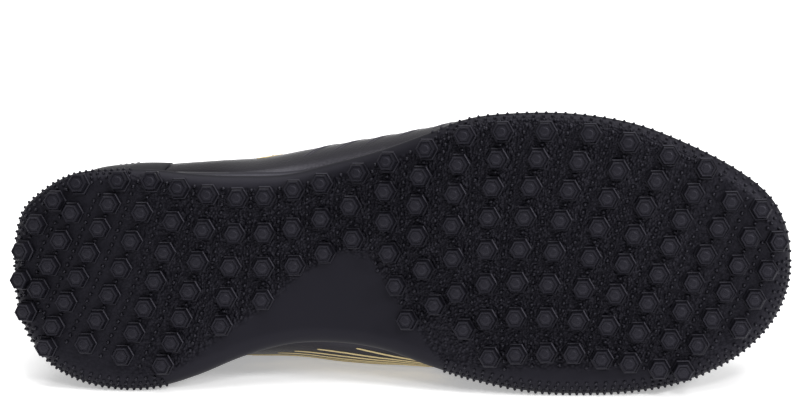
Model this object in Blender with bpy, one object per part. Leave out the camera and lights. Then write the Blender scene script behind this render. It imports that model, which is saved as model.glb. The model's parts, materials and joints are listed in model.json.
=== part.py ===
"""Field hockey shoe for the right foot, lying on its medial side.

The shoe is modelled standing, with x from heel to toe, y towards the medial side and z up from the ground
under the stud tips. At the end one empty lays it down on its medial side. Metres throughout.
"""
import math
from collections import namedtuple

import bmesh
import bpy
import numpy as np
from mathutils import Matrix, Vector

# Driving dimensions of the shoe
LENGTH = 0.288
BALL_WIDTH = 0.104
HEEL_HEIGHT = 0.086
INSTEP_HEIGHT = 0.094

# Clearance between pieces that touch on the real shoe
GAP = 0.0003

# Outsole
STUD_HEIGHT = 0.0045
STUD_BASE = 0.0090
STUD_TIP = 0.0068
STUD_ROOT = 0.0016
STUD_EDGE = 0.0042
STUD_LEAN = 0.6
PLATE = 0.0030
RIM_HEIGHT = 0.0090
RIM_WALL = 0.0016
EDGE_ROUND = 0.0060
EDGE_RISE = 0.0048
TOE_SPRING = 0.0090
ARCH_RISE = 0.0040
HEEL_BEVEL = 0.0040

# Midsole: height of its upper edge above the ground at the heel and under the ball
HEEL_STACK = 0.0260
BALL_STACK = 0.0165
FEATHER_INSET = 0.0080
MIDSOLE_LIP = 0.0010
MIDSOLE_SHOULDER = 0.0012

# Upper and what lies in it
UPPER_WALL = 0.0022
COLLAR_PAD = 0.0070
BULGE = 0.0200
INSOLE = 0.0040
INSOLE_CUP = 0.0015
TONGUE = 0.0045
TONGUE_LAP = 0.0070
TONGUE_RISE = 0.0200
TONGUE_EASE = 0.0008
OVERLAY = 0.0012

# Laces
LACE_WIDTH = 0.0060
LACE_THICKNESS = 0.0016
EYELETS = 6

# Where the eyestays and eyelets lie: places along the table's rows, and shares up each rib
THROAT_TOP = 8.6
THROAT_END = 13.2
EYESTAY_LOW = 0.80
EYESTAY_HIGH = 0.985
EYELET_SHARE = 0.92

# How finely the round forms are cut
RIBS = 64
WALL_ROWS = 8

# A row for each cross section from the heel's back to the toe's tip. at is a share of LENGTH, medial and
# lateral are the outsole's edges as shares of BALL_WIDTH, and the two insets say how far the upper's lower
# edge stands inside them, as shares of FEATHER_INSET.
FormRow = namedtuple("FormRow", "at medial lateral medial_inset lateral_inset")
FORM = (
    FormRow(0.000, 0.050, 0.050, 0.95, 0.95),
    FormRow(0.010, 0.234, -0.145, 1.00, 0.90),
    FormRow(0.040, 0.364, -0.238, 1.05, 0.75),
    FormRow(0.085, 0.437, -0.303, 1.15, 0.60),
    FormRow(0.140, 0.467, -0.318, 1.20, 0.50),
    FormRow(0.190, 0.460, -0.316, 1.10, 0.40),
    FormRow(0.240, 0.420, -0.300, 0.80, 0.20),
    FormRow(0.300, 0.354, -0.291, 0.35, 0.10),
    FormRow(0.360, 0.312, -0.294, 0.05, 0.10),
    FormRow(0.420, 0.308, -0.332, 0.00, 0.20),
    FormRow(0.480, 0.332, -0.376, 0.05, 0.30),
    FormRow(0.540, 0.387, -0.434, 0.30, 0.45),
    FormRow(0.600, 0.436, -0.492, 0.52, 0.60),
    FormRow(0.670, 0.475, -0.509, 0.70, 0.65),
    FormRow(0.740, 0.483, -0.502, 0.75, 0.60),
    FormRow(0.810, 0.472, -0.465, 0.72, 0.60),
    FormRow(0.875, 0.433, -0.392, 0.66, 0.60),
    FormRow(0.935, 0.350, -0.300, 0.60, 0.60),
    FormRow(0.975, 0.243, -0.205, 0.60, 0.60),
    FormRow(0.995, 0.128, -0.098, 0.60, 0.60),
    FormRow(1.000, 0.015, 0.015, 0.60, 0.60),
)

# The upper's top edge at the same cross sections: collar, throat, then the ridge from the throat to the toe.
# at is a share of LENGTH, half of BALL_WIDTH, the two heights of HEEL_HEIGHT and INSTEP_HEIGHT, and the two
# outward bows of BULGE. lay is 0 where the wall arrives upright and 1 where it arrives flat.
TopRow = namedtuple("TopRow", "at half heel instep medial_bow lateral_bow lay")
TOP = (
    TopRow(0.030, 0.000, 1.000, 0.000, 0.35, 0.35, 0.00),
    TopRow(0.036, 0.100, 0.983, 0.000, 0.33, 0.35, 0.00),
    TopRow(0.062, 0.190, 0.920, 0.000, 0.28, 0.32, 0.00),
    TopRow(0.105, 0.260, 0.837, 0.000, 0.22, 0.28, 0.00),
    TopRow(0.160, 0.297, 0.785, 0.000, 0.18, 0.24, 0.00),
    TopRow(0.215, 0.307, 0.800, 0.000, 0.22, 0.28, 0.00),
    TopRow(0.275, 0.297, 0.700, 0.170, 0.38, 0.36, 0.00),
    TopRow(0.330, 0.267, 0.350, 0.595, 0.72, 0.48, 0.00),
    TopRow(0.375, 0.222, 0.000, 1.000, 1.02, 0.78, 0.05),
    TopRow(0.420, 0.185, 0.000, 0.947, 1.26, 0.88, 0.20),
    TopRow(0.470, 0.160, 0.000, 0.883, 1.25, 0.88, 0.40),
    TopRow(0.520, 0.140, 0.000, 0.814, 0.98, 0.77, 0.60),
    TopRow(0.570, 0.115, 0.000, 0.750, 0.66, 0.63, 0.80),
    TopRow(0.615, 0.075, 0.000, 0.697, 0.48, 0.60, 0.92),
    TopRow(0.640, 0.000, 0.000, 0.670, 0.45, 0.57, 1.00),
    TopRow(0.700, 0.000, 0.000, 0.633, 0.45, 0.55, 1.00),
    TopRow(0.760, 0.000, 0.000, 0.606, 0.45, 0.50, 1.00),
    TopRow(0.820, 0.000, 0.000, 0.580, 0.48, 0.48, 1.00),
    TopRow(0.860, 0.000, 0.000, 0.560, 0.45, 0.45, 1.00),
    TopRow(0.885, 0.000, 0.000, 0.545, 0.45, 0.45, 1.00),
    TopRow(0.890, 0.000, 0.000, 0.540, 0.45, 0.45, 1.00),
)

# The shoe from the side. The first three columns lift the tread off the ground as shares of TOE_SPRING,
# ARCH_RISE and HEEL_BEVEL, the last two give the midsole's upper edge as shares of the two stack heights.
SideRow = namedtuple("SideRow", "at spring arch bevel heel_stack ball_stack")
SIDE = (
    SideRow(0.00, 0.00, 0.00, 1.00, 1.00, 0.00),
    SideRow(0.05, 0.00, 0.00, 0.40, 0.99, 0.00),
    SideRow(0.12, 0.00, 0.00, 0.00, 0.97, 0.00),
    SideRow(0.25, 0.00, 0.00, 0.00, 0.90, 0.04),
    SideRow(0.33, 0.00, 0.60, 0.00, 0.60, 0.50),
    SideRow(0.42, 0.00, 1.00, 0.00, 0.25, 0.95),
    SideRow(0.50, 0.00, 0.60, 0.00, 0.06, 1.08),
    SideRow(0.60, 0.00, 0.00, 0.00, 0.00, 1.03),
    SideRow(0.70, 0.00, 0.00, 0.00, 0.00, 1.00),
    SideRow(0.80, 0.08, 0.00, 0.00, 0.00, 1.03),
    SideRow(0.90, 0.42, 0.00, 0.00, 0.00, 1.17),
    SideRow(1.00, 1.00, 0.00, 0.00, 0.00, 1.50),
)

# A row for each curved row of studs, heel to toe: its lateral and medial ends as shares of LENGTH and
# BALL_WIDTH, how far its middle bows towards the toe, how its studs gather towards the medial end, and
# how many there are.
StudRow = namedtuple("StudRow", "lateral_at lateral_side medial_at medial_side bow gather count")
STUDS = (
    StudRow(0.093, -0.285, 0.046, 0.312, -0.056, -0.29, 7),
    StudRow(0.085, -0.168, 0.037, 0.106, 0.001, 0.12, 4),
    StudRow(0.147, -0.289, 0.056, 0.240, 0.004, 0.00, 7),
    StudRow(0.189, -0.276, 0.098, 0.300, 0.006, 0.13, 7),
    StudRow(0.225, -0.252, 0.146, 0.342, 0.010, 0.21, 7),
    StudRow(0.262, -0.230, 0.198, 0.375, 0.010, 0.26, 7),
    StudRow(0.299, -0.218, 0.275, 0.235, 0.002, 0.16, 5),
    StudRow(0.334, -0.220, 0.328, 0.146, 0.000, 0.08, 4),
    StudRow(0.371, -0.242, 0.370, 0.025, -0.002, 0.00, 3),
    StudRow(0.407, -0.264, 0.409, -0.018, -0.002, 0.00, 3),
    StudRow(0.455, -0.300, 0.447, -0.070, -0.007, 0.00, 3),
    StudRow(0.494, -0.339, 0.515, 0.218, -0.013, -0.11, 6),
    StudRow(0.545, -0.385, 0.552, 0.163, -0.018, -0.18, 6),
    StudRow(0.594, -0.432, 0.589, 0.248, -0.015, -0.16, 7),
    StudRow(0.642, -0.446, 0.621, 0.348, -0.012, -0.21, 8),
    StudRow(0.697, -0.447, 0.655, 0.337, -0.013, -0.19, 8),
    StudRow(0.753, -0.437, 0.693, 0.332, -0.016, -0.15, 8),
    StudRow(0.802, -0.405, 0.728, 0.334, -0.011, -0.12, 8),
    StudRow(0.851, -0.358, 0.764, 0.354, -0.011, -0.17, 8),
    StudRow(0.897, -0.310, 0.799, 0.368, -0.008, -0.13, 8),
    StudRow(0.928, -0.194, 0.836, 0.390, -0.004, -0.07, 7),
    StudRow(0.964, -0.163, 0.865, 0.396, 0.006, 0.05, 7),
    StudRow(0.985, -0.050, 0.937, 0.252, 0.003, 0.00, 4),
)

# The outsole's rounded edge, from the tread to the widest line: shares of EDGE_ROUND and EDGE_RISE
EdgeRow = namedtuple("EdgeRow", "inset rise")
EDGE = (
    EdgeRow(1.00, 0.00),
    EdgeRow(0.42, 0.18),
    EdgeRow(0.09, 0.58),
    EdgeRow(0.00, 1.00),
)

Material = namedtuple("Material", "colour roughness metallic")
MATERIALS = {
    "rubber": Material((0.022, 0.021, 0.026), 0.55, 0.0),
    "foam": Material((0.030, 0.029, 0.036), 0.75, 0.0),
    "synthetic_leather": Material((0.060, 0.055, 0.075), 0.40, 0.0),
    "mesh_lining": Material((0.025, 0.025, 0.030), 0.90, 0.0),
    "lace": Material((0.030, 0.030, 0.034), 0.85, 0.0),
}


def clear_scene():
    """Take away whatever the scene starts with."""
    for item in list(bpy.data.objects):
        bpy.data.objects.remove(item, do_unlink=True)


def material(name):
    """The Principled material of that name, made once."""
    found = bpy.data.materials.get(name)
    if found:
        return found
    values = MATERIALS[name]
    made = bpy.data.materials.new(name)
    made.use_nodes = True
    shader = made.node_tree.nodes["Principled BSDF"]
    shader.inputs["Base Color"].default_value = (*values.colour, 1.0)
    shader.inputs["Roughness"].default_value = values.roughness
    shader.inputs["Metallic"].default_value = values.metallic
    return made


def add_object(name, form, finish):
    """Turn a bmesh into a named, smoothly shaded object with its material."""
    mesh = bpy.data.meshes.new(name)
    form.to_mesh(mesh)
    form.free()
    mesh.materials.append(material(finish))
    mesh.shade_smooth()
    mesh.set_sharp_from_angle(angle=math.radians(40))
    item = bpy.data.objects.new(name, mesh)
    bpy.context.scene.collection.objects.link(item)
    return item


def solidify(item, thickness, group=None):
    """Give an open shell a wall on its inner side."""
    wall = item.modifiers.new("wall", "SOLIDIFY")
    wall.thickness = thickness
    wall.offset = -1.0
    if group:
        wall.vertex_group = group


# Curves that every piece follows


def spline(rows, places):
    """Values at the given places along a closed list of rows, as a smooth curve through them."""
    places = np.atleast_1d(places)
    first = np.floor(places).astype(int)
    part = (places - first)[:, None]
    before, here, after, beyond = (rows[(first + step) % len(rows)] for step in (-1, 0, 1, 2))
    line = 2.0 * here + (after - before) * part
    square = (2.0 * before - 5.0 * here + 4.0 * after - beyond) * part ** 2
    cube = (3.0 * here - before - 3.0 * after + beyond) * part ** 3
    return 0.5 * (line + square + cube)


def rib_row(index, medial):
    """One row of the closed table that runs round the shoe: outline, inset, top edge, bow and lay."""
    form = FORM[index]
    top = TOP[index]
    medial_foot = form.medial * BALL_WIDTH - form.medial_inset * FEATHER_INSET
    lateral_foot = form.lateral * BALL_WIDTH + form.lateral_inset * FEATHER_INSET
    edge = form.medial if medial else form.lateral
    inset = form.medial_inset if medial else form.lateral_inset
    bow = top.medial_bow if medial else top.lateral_bow
    middle = 0.5 * (medial_foot + lateral_foot)
    if index in (0, len(FORM) - 1):
        middle = edge * BALL_WIDTH
    return (
        form.at * LENGTH,
        edge * BALL_WIDTH,
        inset * FEATHER_INSET,
        top.at * LENGTH,
        middle,
        top.half * BALL_WIDTH * (1.0 if medial else -1.0),
        top.heel * HEEL_HEIGHT + top.instep * INSTEP_HEIGHT,
        bow * BULGE,
        top.lay,
    )


TOE = len(FORM) - 1
ROUND = np.array(
    [rib_row(index, True) for index in range(TOE + 1)]
    + [rib_row(index, False) for index in range(TOE - 1, 0, -1)]
)
PLACES = np.arange(RIBS) * len(ROUND) / RIBS


def along(at, column):
    """A column of the side table at places along the length, smooth and without overshoot."""
    knots = np.array([row.at for row in SIDE]) * LENGTH
    values = np.array([getattr(row, column) for row in SIDE])
    steps = np.diff(values) / np.diff(knots)
    slopes = np.zeros(len(knots))
    rising = steps[:-1] * steps[1:] > 0.0
    slopes[1:-1][rising] = 2.0 * (steps[:-1] * steps[1:])[rising] / (steps[:-1] + steps[1:])[rising]
    slopes[-1] = steps[-1]
    slopes[0] = steps[0]
    at = np.clip(at, knots[0], knots[-1])
    index = np.clip(np.searchsorted(knots, at) - 1, 0, len(knots) - 2)
    span = knots[index + 1] - knots[index]
    part = (at - knots[index]) / span
    start = (1.0 + 2.0 * part) * (1.0 - part) ** 2 * values[index]
    start = start + part * (1.0 - part) ** 2 * span * slopes[index]
    end = part ** 2 * (3.0 - 2.0 * part) * values[index + 1]
    end = end + part ** 2 * (part - 1.0) * span * slopes[index + 1]
    return start + end


def tread_height(at):
    """Height of the outsole's flat underside above the ground."""
    lift = along(at, "spring") * TOE_SPRING + along(at, "arch") * ARCH_RISE
    return STUD_HEIGHT + lift + along(at, "bevel") * HEEL_BEVEL


def feather_height(at):
    """Height of the midsole's upper edge, where the upper starts."""
    return along(at, "heel_stack") * HEEL_STACK + along(at, "ball_stack") * BALL_STACK


def outline(places, inset=0.0):
    """Points of the outsole's outline, moved inwards by an inset."""
    step = 0.02
    point = spline(ROUND, places)[:, :2]
    ahead = spline(ROUND, np.atleast_1d(places) + step)[:, :2]
    behind = spline(ROUND, np.atleast_1d(places) - step)[:, :2]
    run = ahead - behind
    run = run / np.linalg.norm(run, axis=1)[:, None]
    outward = np.column_stack((-run[:, 1], run[:, 0]))
    return point - outward * np.reshape(inset, (-1, 1)), outward


def ring_at(inset, height):
    """One ring of points round the sole at an inset, with its height worked out from its place."""
    flat, _ = outline(PLACES, inset)
    return np.column_stack((flat, height(flat[:, 0])))


def feather_inset():
    """How far the upper's lower edge stands inside the outsole's outline, all round."""
    return spline(ROUND, PLACES)[:, 2]


# The upper's outer face


def ribs(places, shares):
    """Points of the upper's outer face: a curve for each place round the shoe, from sole to top edge."""
    values = spline(ROUND, places)
    inset, top_at, middle, half, top_up, bow, lay = values[:, 2:].T
    flat, outward = outline(places, inset)
    foot = np.column_stack((flat, feather_height(flat[:, 0]) + GAP))
    half = np.where(np.abs(half) < 2.0 * GAP, 0.0, half)
    wrapped = np.mod(places, len(ROUND))
    half = np.where(wrapped <= TOE, np.maximum(half, 0.0), np.minimum(half, 0.0))
    top = np.column_stack((top_at, middle + half, top_up))
    rise = (top[:, 2] - foot[:, 2])[:, None]
    lay = lay[:, None]
    side = np.column_stack((outward, np.zeros(len(outward)))) * bow[:, None]
    up = np.array((0.0, 0.0, 1.0))
    reach = (foot - top) * (1.0, 1.0, 0.0)
    belly = 0.45 + 0.25 * lay - 0.25 * bow[:, None] / BULGE
    low = foot + side + up * rise * belly
    high = top + (1.0 - lay) * (side * 0.5 - up * rise * 0.35) + lay * reach * 0.55
    share = np.asarray(shares, dtype=float)[None, :, None]
    start = (1.0 - share) ** 3 * foot[:, None] + 3.0 * share * (1.0 - share) ** 2 * low[:, None]
    end = 3.0 * share ** 2 * (1.0 - share) * high[:, None] + share ** 3 * top[:, None]
    return start + end


def face_points(places, shares, depth):
    """Points moved off the upper's outer face: inwards by a depth, outwards where it is negative."""
    places = np.atleast_1d(places)
    shares = np.atleast_1d(shares)
    step = 0.01
    along_run = ribs(places + step, shares) - ribs(places - step, shares)
    along_rise = ribs(places, np.minimum(shares + step, 1.0)) - ribs(places, np.maximum(shares - step, 0.0))
    normal = np.cross(along_rise, along_run)
    normal = normal / np.linalg.norm(normal, axis=2)[:, :, None]
    return ribs(places, shares) - normal * depth


# Builders of closed solids


def add_rows(form, rows, closed):
    """Faces between rows of vertices, each row going the same way round."""
    for lower, upper in zip(rows[:-1], rows[1:]):
        count = len(lower) if closed else len(lower) - 1
        for index in range(count):
            ahead = (index + 1) % len(lower)
            corners = [lower[index], upper[index], upper[ahead], lower[ahead]]
            kept = list(dict.fromkeys(corners))
            if len(kept) > 2 and not form.faces.get(kept):
                form.faces.new(kept)


def add_cap(form, ring, across, height):
    """Close a ring of the sole with strips from its medial to its lateral side."""
    half = len(ring) // 2
    rows = []
    for index in range(half + 1):
        medial = ring[index]
        lateral = ring[-index % len(ring)]
        if medial is lateral:
            rows.append([medial] * (across + 1))
            continue
        row = [medial]
        for step in range(1, across):
            spot = medial.co.lerp(lateral.co, step / across)
            spot.z = float(height(np.array([spot.x]))[0])
            row.append(form.verts.new(spot))
        rows.append(row + [lateral])
    add_rows(form, rows, False)


def stacked_solid(rings, across, under, over):
    """A closed solid from rings stacked bottom to top, capped below and above."""
    form = bmesh.new()
    rows = [[form.verts.new(point) for point in ring] for ring in rings]
    add_rows(form, rows, True)
    add_cap(form, rows[0], across, under)
    add_cap(form, rows[-1], across, over)
    bmesh.ops.recalc_face_normals(form, faces=form.faces[:])
    return form


def shell(points, closed=False):
    """An open surface from a grid of points, rows running up."""
    form = bmesh.new()
    columns = [[form.verts.new(point) for point in column] for column in points]
    rows = [list(row) for row in zip(*columns)]
    add_rows(form, rows, closed)
    bmesh.ops.remove_doubles(form, verts=form.verts[:], dist=0.00001)
    return form


# Sole


def edge_rise(distance):
    """How far the rounded edge has risen at a distance inside the outline."""
    insets = [row.inset * EDGE_ROUND for row in reversed(EDGE)]
    rises = [row.rise * EDGE_RISE for row in reversed(EDGE)]
    return np.interp(distance, insets, rises)


def lifted(height, extra):
    """A height function raised by a fixed amount."""
    return lambda at: height(at) + extra


FINE_OUTLINE = outline(np.linspace(0.0, len(ROUND), 400, endpoint=False))


def edge_distance(at, side):
    """How far a spot lies inside the outline, and the direction out to it."""
    points, outward = FINE_OUTLINE
    distances = np.hypot(points[:, 0] - at, points[:, 1] - side)
    nearest = int(np.argmin(distances))
    return distances[nearest], outward[nearest]


def underside(at, side):
    """Height of the outsole's underside at one spot, rounded edge included."""
    distance, _ = edge_distance(at, side)
    return float(tread_height(np.array([at]))[0] + edge_rise(distance))


def stud_spots():
    """Where each stud stands, row by row from the heel, kept clear of the outline."""
    spots = []
    for row in STUDS:
        for index in range(row.count):
            share = index / (row.count - 1)
            bowed = share + row.gather * share * (1.0 - share)
            at = row.lateral_at + (row.medial_at - row.lateral_at) * bowed
            at += 4.0 * row.bow * bowed * (1.0 - bowed)
            side = row.lateral_side + (row.medial_side - row.lateral_side) * bowed
            spot = np.array((at * LENGTH, side * BALL_WIDTH))
            distance, outward = edge_distance(*spot)
            spots.append(tuple(spot - outward * max(STUD_EDGE - distance, 0.0)))
    return spots


def add_stud(form, at, side):
    """A tapered hexagonal stud that leans with the underside at its spot."""
    reach = 0.5 * STUD_BASE
    spot = Vector((at, side, underside(at, side)))
    slope_x = (underside(at + reach, side) - underside(at - reach, side)) / STUD_BASE
    slope_y = (underside(at, side + reach) - underside(at, side - reach)) / STUD_BASE
    down = Vector((slope_x * STUD_LEAN, slope_y * STUD_LEAN, -1.0)).normalized()
    turn = Vector((0.0, 0.0, -1.0)).rotation_difference(down).to_matrix().to_4x4()
    bmesh.ops.create_cone(
        form, cap_ends=True, segments=6, radius1=0.5 * STUD_TIP, radius2=0.5 * STUD_BASE,
        depth=STUD_HEIGHT + STUD_ROOT,
        matrix=Matrix.Translation(spot) @ turn
        @ Matrix.Translation((0.0, 0.0, 0.5 * (STUD_ROOT - STUD_HEIGHT))) @ Matrix.Rotation(math.pi / 2, 4, "Z"),
    )


def build_outsole():
    """The rubber tray with its upturned rim, and the studs joined to it."""
    rim_inner = RIM_WALL + 0.1 * EDGE_ROUND
    rings = [ring_at(row.inset * EDGE_ROUND, lifted(tread_height, row.rise * EDGE_RISE)) for row in EDGE]
    rings.append(ring_at(0.1 * EDGE_ROUND, lifted(tread_height, RIM_HEIGHT)))
    rings.append(ring_at(rim_inner, lifted(tread_height, RIM_HEIGHT)))
    rings.append(ring_at(rim_inner, lifted(tread_height, PLATE + 0.4 * EDGE_RISE)))
    rings.append(ring_at(EDGE_ROUND, lifted(tread_height, PLATE)))
    plate = add_object("outsole", stacked_solid(rings, 4, tread_height, lifted(tread_height, PLATE)), "rubber")
    form = bmesh.new()
    for at, side in stud_spots():
        add_stud(form, at, side)
    studs = add_object("stud_guide", form, "rubber")
    studs.hide_render = True
    studs.display_type = "WIRE"
    join = plate.modifiers.new("studs", "BOOLEAN")
    join.operation = "UNION"
    join.solver = "EXACT"
    join.use_self = True
    join.object = studs
    return plate


def build_midsole():
    """The foam wedge in the outsole's tray, with the upper's lower edge on top."""
    inner = RIM_WALL + 0.1 * EDGE_ROUND + GAP
    lip = feather_inset() - MIDSOLE_LIP
    rings = [
        ring_at(EDGE_ROUND + GAP, lifted(tread_height, PLATE + GAP)),
        ring_at(inner, lifted(tread_height, PLATE + 0.4 * EDGE_RISE + GAP)),
        ring_at(inner, lifted(tread_height, RIM_HEIGHT + GAP)),
        ring_at(np.minimum(inner, lip) * 0.5 + lip * 0.5, lifted(feather_height, -MIDSOLE_SHOULDER)),
        ring_at(lip, feather_height),
        ring_at(feather_inset() + 2.0 * UPPER_WALL, feather_height),
    ]
    return add_object("midsole", stacked_solid(rings, 2, lifted(tread_height, PLATE + GAP), feather_height), "foam")


def build_insole():
    """The footbed, cupped a little at its edge."""
    inset = feather_inset() + UPPER_WALL + 4.0 * GAP
    rings = [
        ring_at(inset, lifted(feather_height, GAP)),
        ring_at(inset, lifted(feather_height, GAP + INSOLE + INSOLE_CUP)),
        ring_at(inset + 2.0 * INSOLE_CUP, lifted(feather_height, GAP + INSOLE)),
    ]
    form = stacked_solid(rings, 2, lifted(feather_height, GAP), lifted(feather_height, GAP + INSOLE))
    return add_object("insole", form, "mesh_lining")


# Upper, tongue and overlays


def build_upper():
    """The hollow wall, thicker at the padded collar, open at the collar, the throat and underneath."""
    shares = np.linspace(0.0, 1.0, WALL_ROWS + 1)
    upper = add_object("upper", shell(ribs(PLACES, shares), closed=True), "synthetic_leather")
    group = upper.vertex_groups.new(name="thickness")
    collar_front = TOP[8].at * LENGTH
    low = 0.60 * HEEL_HEIGHT
    for vertex in upper.data.vertices:
        height = vertex.co.z
        rear = min(max((collar_front - vertex.co.x) / (0.12 * LENGTH), 0.0), 1.0)
        swell = math.sin(math.pi * min(max((height - low) / (0.42 * HEEL_HEIGHT), 0.0), 1.0) ** 0.8)
        local = UPPER_WALL + (COLLAR_PAD - UPPER_WALL) * rear * max(swell, 0.0)
        group.add([vertex.index], local / COLLAR_PAD, "REPLACE")
    solidify(upper, COLLAR_PAD, "thickness")
    return upper


def overlay(name, places, low, high, rows, finish):
    """A thin piece lying on the upper between two heights, given as shares of each rib."""
    columns = []
    for index, place in enumerate(places):
        shares = np.linspace(low[index], high[index], rows + 1)
        columns.append(face_points(place, shares, -(GAP + OVERLAY))[0])
    item = add_object(name, shell(columns), finish)
    solidify(item, OVERLAY)
    return item


def build_overlays():
    """The heel counter and the two eyestays."""
    pitch = len(ROUND) / RIBS
    reach = np.arange(-8, 9) * pitch
    fall = (np.abs(reach) / reach[-1]) ** 2
    counter = overlay("heel_counter", reach, np.full(len(reach), 0.04), 0.60 - 0.32 * fall, 4, "synthetic_leather")
    places = np.arange(math.ceil(THROAT_TOP / pitch), math.floor(THROAT_END / pitch) + 1) * pitch
    low = np.full(len(places), EYESTAY_LOW)
    high = np.full(len(places), EYESTAY_HIGH)
    medial = overlay("eyestay_medial", places, low, high, 2, "synthetic_leather")
    lateral = overlay("eyestay_lateral", len(ROUND) - places[::-1], low, high, 2, "synthetic_leather")
    return [counter, medial, lateral]


def tongue_row(place, across):
    """One cross section of the tongue: under the upper at its sides, crowned in the throat."""
    other = len(ROUND) - place
    depth = UPPER_WALL + TONGUE_EASE
    medial = face_points(place, 1.0, depth)[0, 0]
    lateral = face_points(other, 1.0, depth)[0, 0]
    half = 0.5 * abs(medial[1] - lateral[1])
    lap = TONGUE_LAP * min(max(0.5 * (place - 8.0), 0.0), 1.0)
    shares = np.linspace(0.3, 1.0, 60)
    under_medial = face_points(place, shares, depth)[0]
    under_lateral = face_points(other, shares, depth)[0]
    middle = 0.5 * (medial[1] + lateral[1])
    row = []
    for step in np.linspace(-1.0, 1.0, across):
        aside = step * (half + lap)
        if abs(aside) <= half:
            share = 0.5 * (1.0 + aside / half)
            point = lateral + (medial - lateral) * share
            point = point + np.array((0.0, 0.0, 0.25 * half * (1.0 - (aside / half) ** 2)))
        else:
            under = under_medial if step > 0.0 else under_lateral
            point = under[np.argmin(np.abs(under[:, 1] - middle - aside))]
        row.append(point)
    return np.array(row)


def build_tongue():
    """The padded tongue, from under the vamp to above the collar."""
    across = 9
    rows = [tongue_row(place, across) for place in np.linspace(13.8, 8.4, 10)]
    lead = rows[-1] - rows[-3]
    lead = lead / np.linalg.norm(lead, axis=1)[:, None]
    throat_top = rows[-1]
    middle = throat_top.mean(axis=0)
    for step, narrow in ((0.45, 0.96), (0.85, 0.88), (1.0, 0.72)):
        rise = np.array((0.0, 0.0, 0.2 * TONGUE_RISE * step))
        across_row = (throat_top - middle) * (1.0, narrow, 1.0)
        rows.append(middle + across_row + lead * TONGUE_RISE * step + rise)
    tongue = add_object("tongue", shell(rows), "mesh_lining")
    solidify(tongue, TONGUE)
    return tongue


def add_band(form, path, normals):
    """A flat lace along a path, as a closed band of six-sided sections that lie square to the normals."""
    rows = []
    for index, point in enumerate(path):
        run = Vector(path[min(index + 1, len(path) - 1)] - path[max(index - 1, 0)]).normalized()
        side = run.cross(Vector(normals[index])).normalized()
        top = side.cross(run)
        row = []
        for corner in range(6):
            angle = math.radians(60 * corner)
            across = side * math.cos(angle) * LACE_WIDTH * 0.5
            up = top * math.sin(angle) * LACE_THICKNESS * 0.5 / math.sin(math.radians(60))
            row.append(form.verts.new(Vector(point) + across + up))
        rows.append(row)
    add_rows(form, rows, True)
    form.faces.new(rows[0])
    form.faces.new(rows[-1][::-1])
    bmesh.ops.recalc_face_normals(form, faces=form.faces[:])


def lace_path(place):
    """From a medial eyelet over the tongue to the lateral one, with the direction that faces out."""
    depth = -(OVERLAY + 3.0 * GAP + 0.5 * LACE_THICKNESS)
    shares = np.array((EYELET_SHARE - 0.02, EYELET_SHARE + 0.03, 0.995))
    sides = []
    for spot in (place, len(ROUND) - place):
        points = face_points(spot, shares, depth)[0]
        normals = (points - face_points(spot, shares, 0.0)[0]) / abs(depth)
        sides.append((points, normals))
    (medial, medial_out), (lateral, lateral_out) = sides
    crest = tongue_row(place, 9)[4]
    between = 0.5 * (medial[2] + lateral[2])
    lift = max(crest[2] + 2.0 * GAP + 0.5 * LACE_THICKNESS - between[2], 0.0)
    path = list(medial)
    normals = list(medial_out)
    for share in (0.25, 0.5, 0.75):
        rise = np.array((0.0, 0.0, lift * (1.0 - (2.0 * share - 1.0) ** 2)))
        path.append(medial[2] + (lateral[2] - medial[2]) * share + rise)
        normals.append(medial_out[2] + (lateral_out[2] - medial_out[2]) * share)
    return path + list(lateral[::-1]), normals + list(lateral_out[::-1])


def build_laces():
    """The lace's bars, one across the throat at each pair of eyelets."""
    laces = []
    for index, place in enumerate(np.linspace(THROAT_TOP + 0.3, THROAT_END - 0.4, EYELETS)):
        form = bmesh.new()
        path, normals = lace_path(place)
        add_band(form, path, normals)
        laces.append(add_object(f"lace_{index + 1}", form, "lace"))
    return laces


# Laying the shoe down


def world_triangles(piece):
    """The corners of a finished piece's triangles."""
    mesh = piece.evaluated_get(bpy.context.evaluated_depsgraph_get()).to_mesh()
    mesh.calc_loop_triangles()
    points = np.array([vertex.co[:] for vertex in mesh.vertices])
    return points[np.array([triangle.vertices[:] for triangle in mesh.loop_triangles])]


def middle_of_mass(triangles):
    """The middle of the volume that closed surfaces hold."""
    volume = np.einsum("ij,ij->i", triangles[:, 0], np.cross(triangles[:, 1], triangles[:, 2])) / 6.0
    middles = triangles.sum(axis=1) / 4.0
    return Vector((middles * volume[:, None]).sum(axis=0) / volume.sum())


def resting_matrix(pieces):
    """The turn and shift that lay the shoe on its medial side, on the hull's face under its middle."""
    bpy.context.view_layer.update()
    triangles = np.concatenate([world_triangles(piece) for piece in pieces])
    middle = middle_of_mass(triangles)
    corners = triangles.reshape(-1, 3)
    form = bmesh.new()
    for corner in corners:
        form.verts.new(corner)
    bmesh.ops.remove_doubles(form, verts=form.verts[:], dist=0.00001)
    hull = bmesh.ops.convex_hull(form, input=form.verts[:])
    faces = [item for item in hull["geom"] if isinstance(item, bmesh.types.BMFace)]
    down = None
    nearest = None
    for face in faces:
        if face.normal.y < 0.7:
            continue
        foot = middle + face.normal * face.normal.dot(face.verts[0].co - middle)
        miss = 0.0
        if not bmesh.geometry.intersect_face_point(face, foot):
            miss = (face.calc_center_median() - foot).length
        if nearest is None or miss < nearest:
            nearest = miss
            down = face.normal.copy()
    form.free()
    ahead = (Vector((1.0, 0.0, 0.0)) - down * down.x).normalized()
    turn = Matrix((ahead, (-down).cross(ahead), -down))
    laid = corners @ np.array(turn).T
    low = laid.min(axis=0)
    high = laid.max(axis=0)
    shift = Vector((-0.5 * (low[0] + high[0]), -0.5 * (low[1] + high[1]), -low[2]))
    return Matrix.Translation(shift) @ turn.to_4x4()


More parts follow.
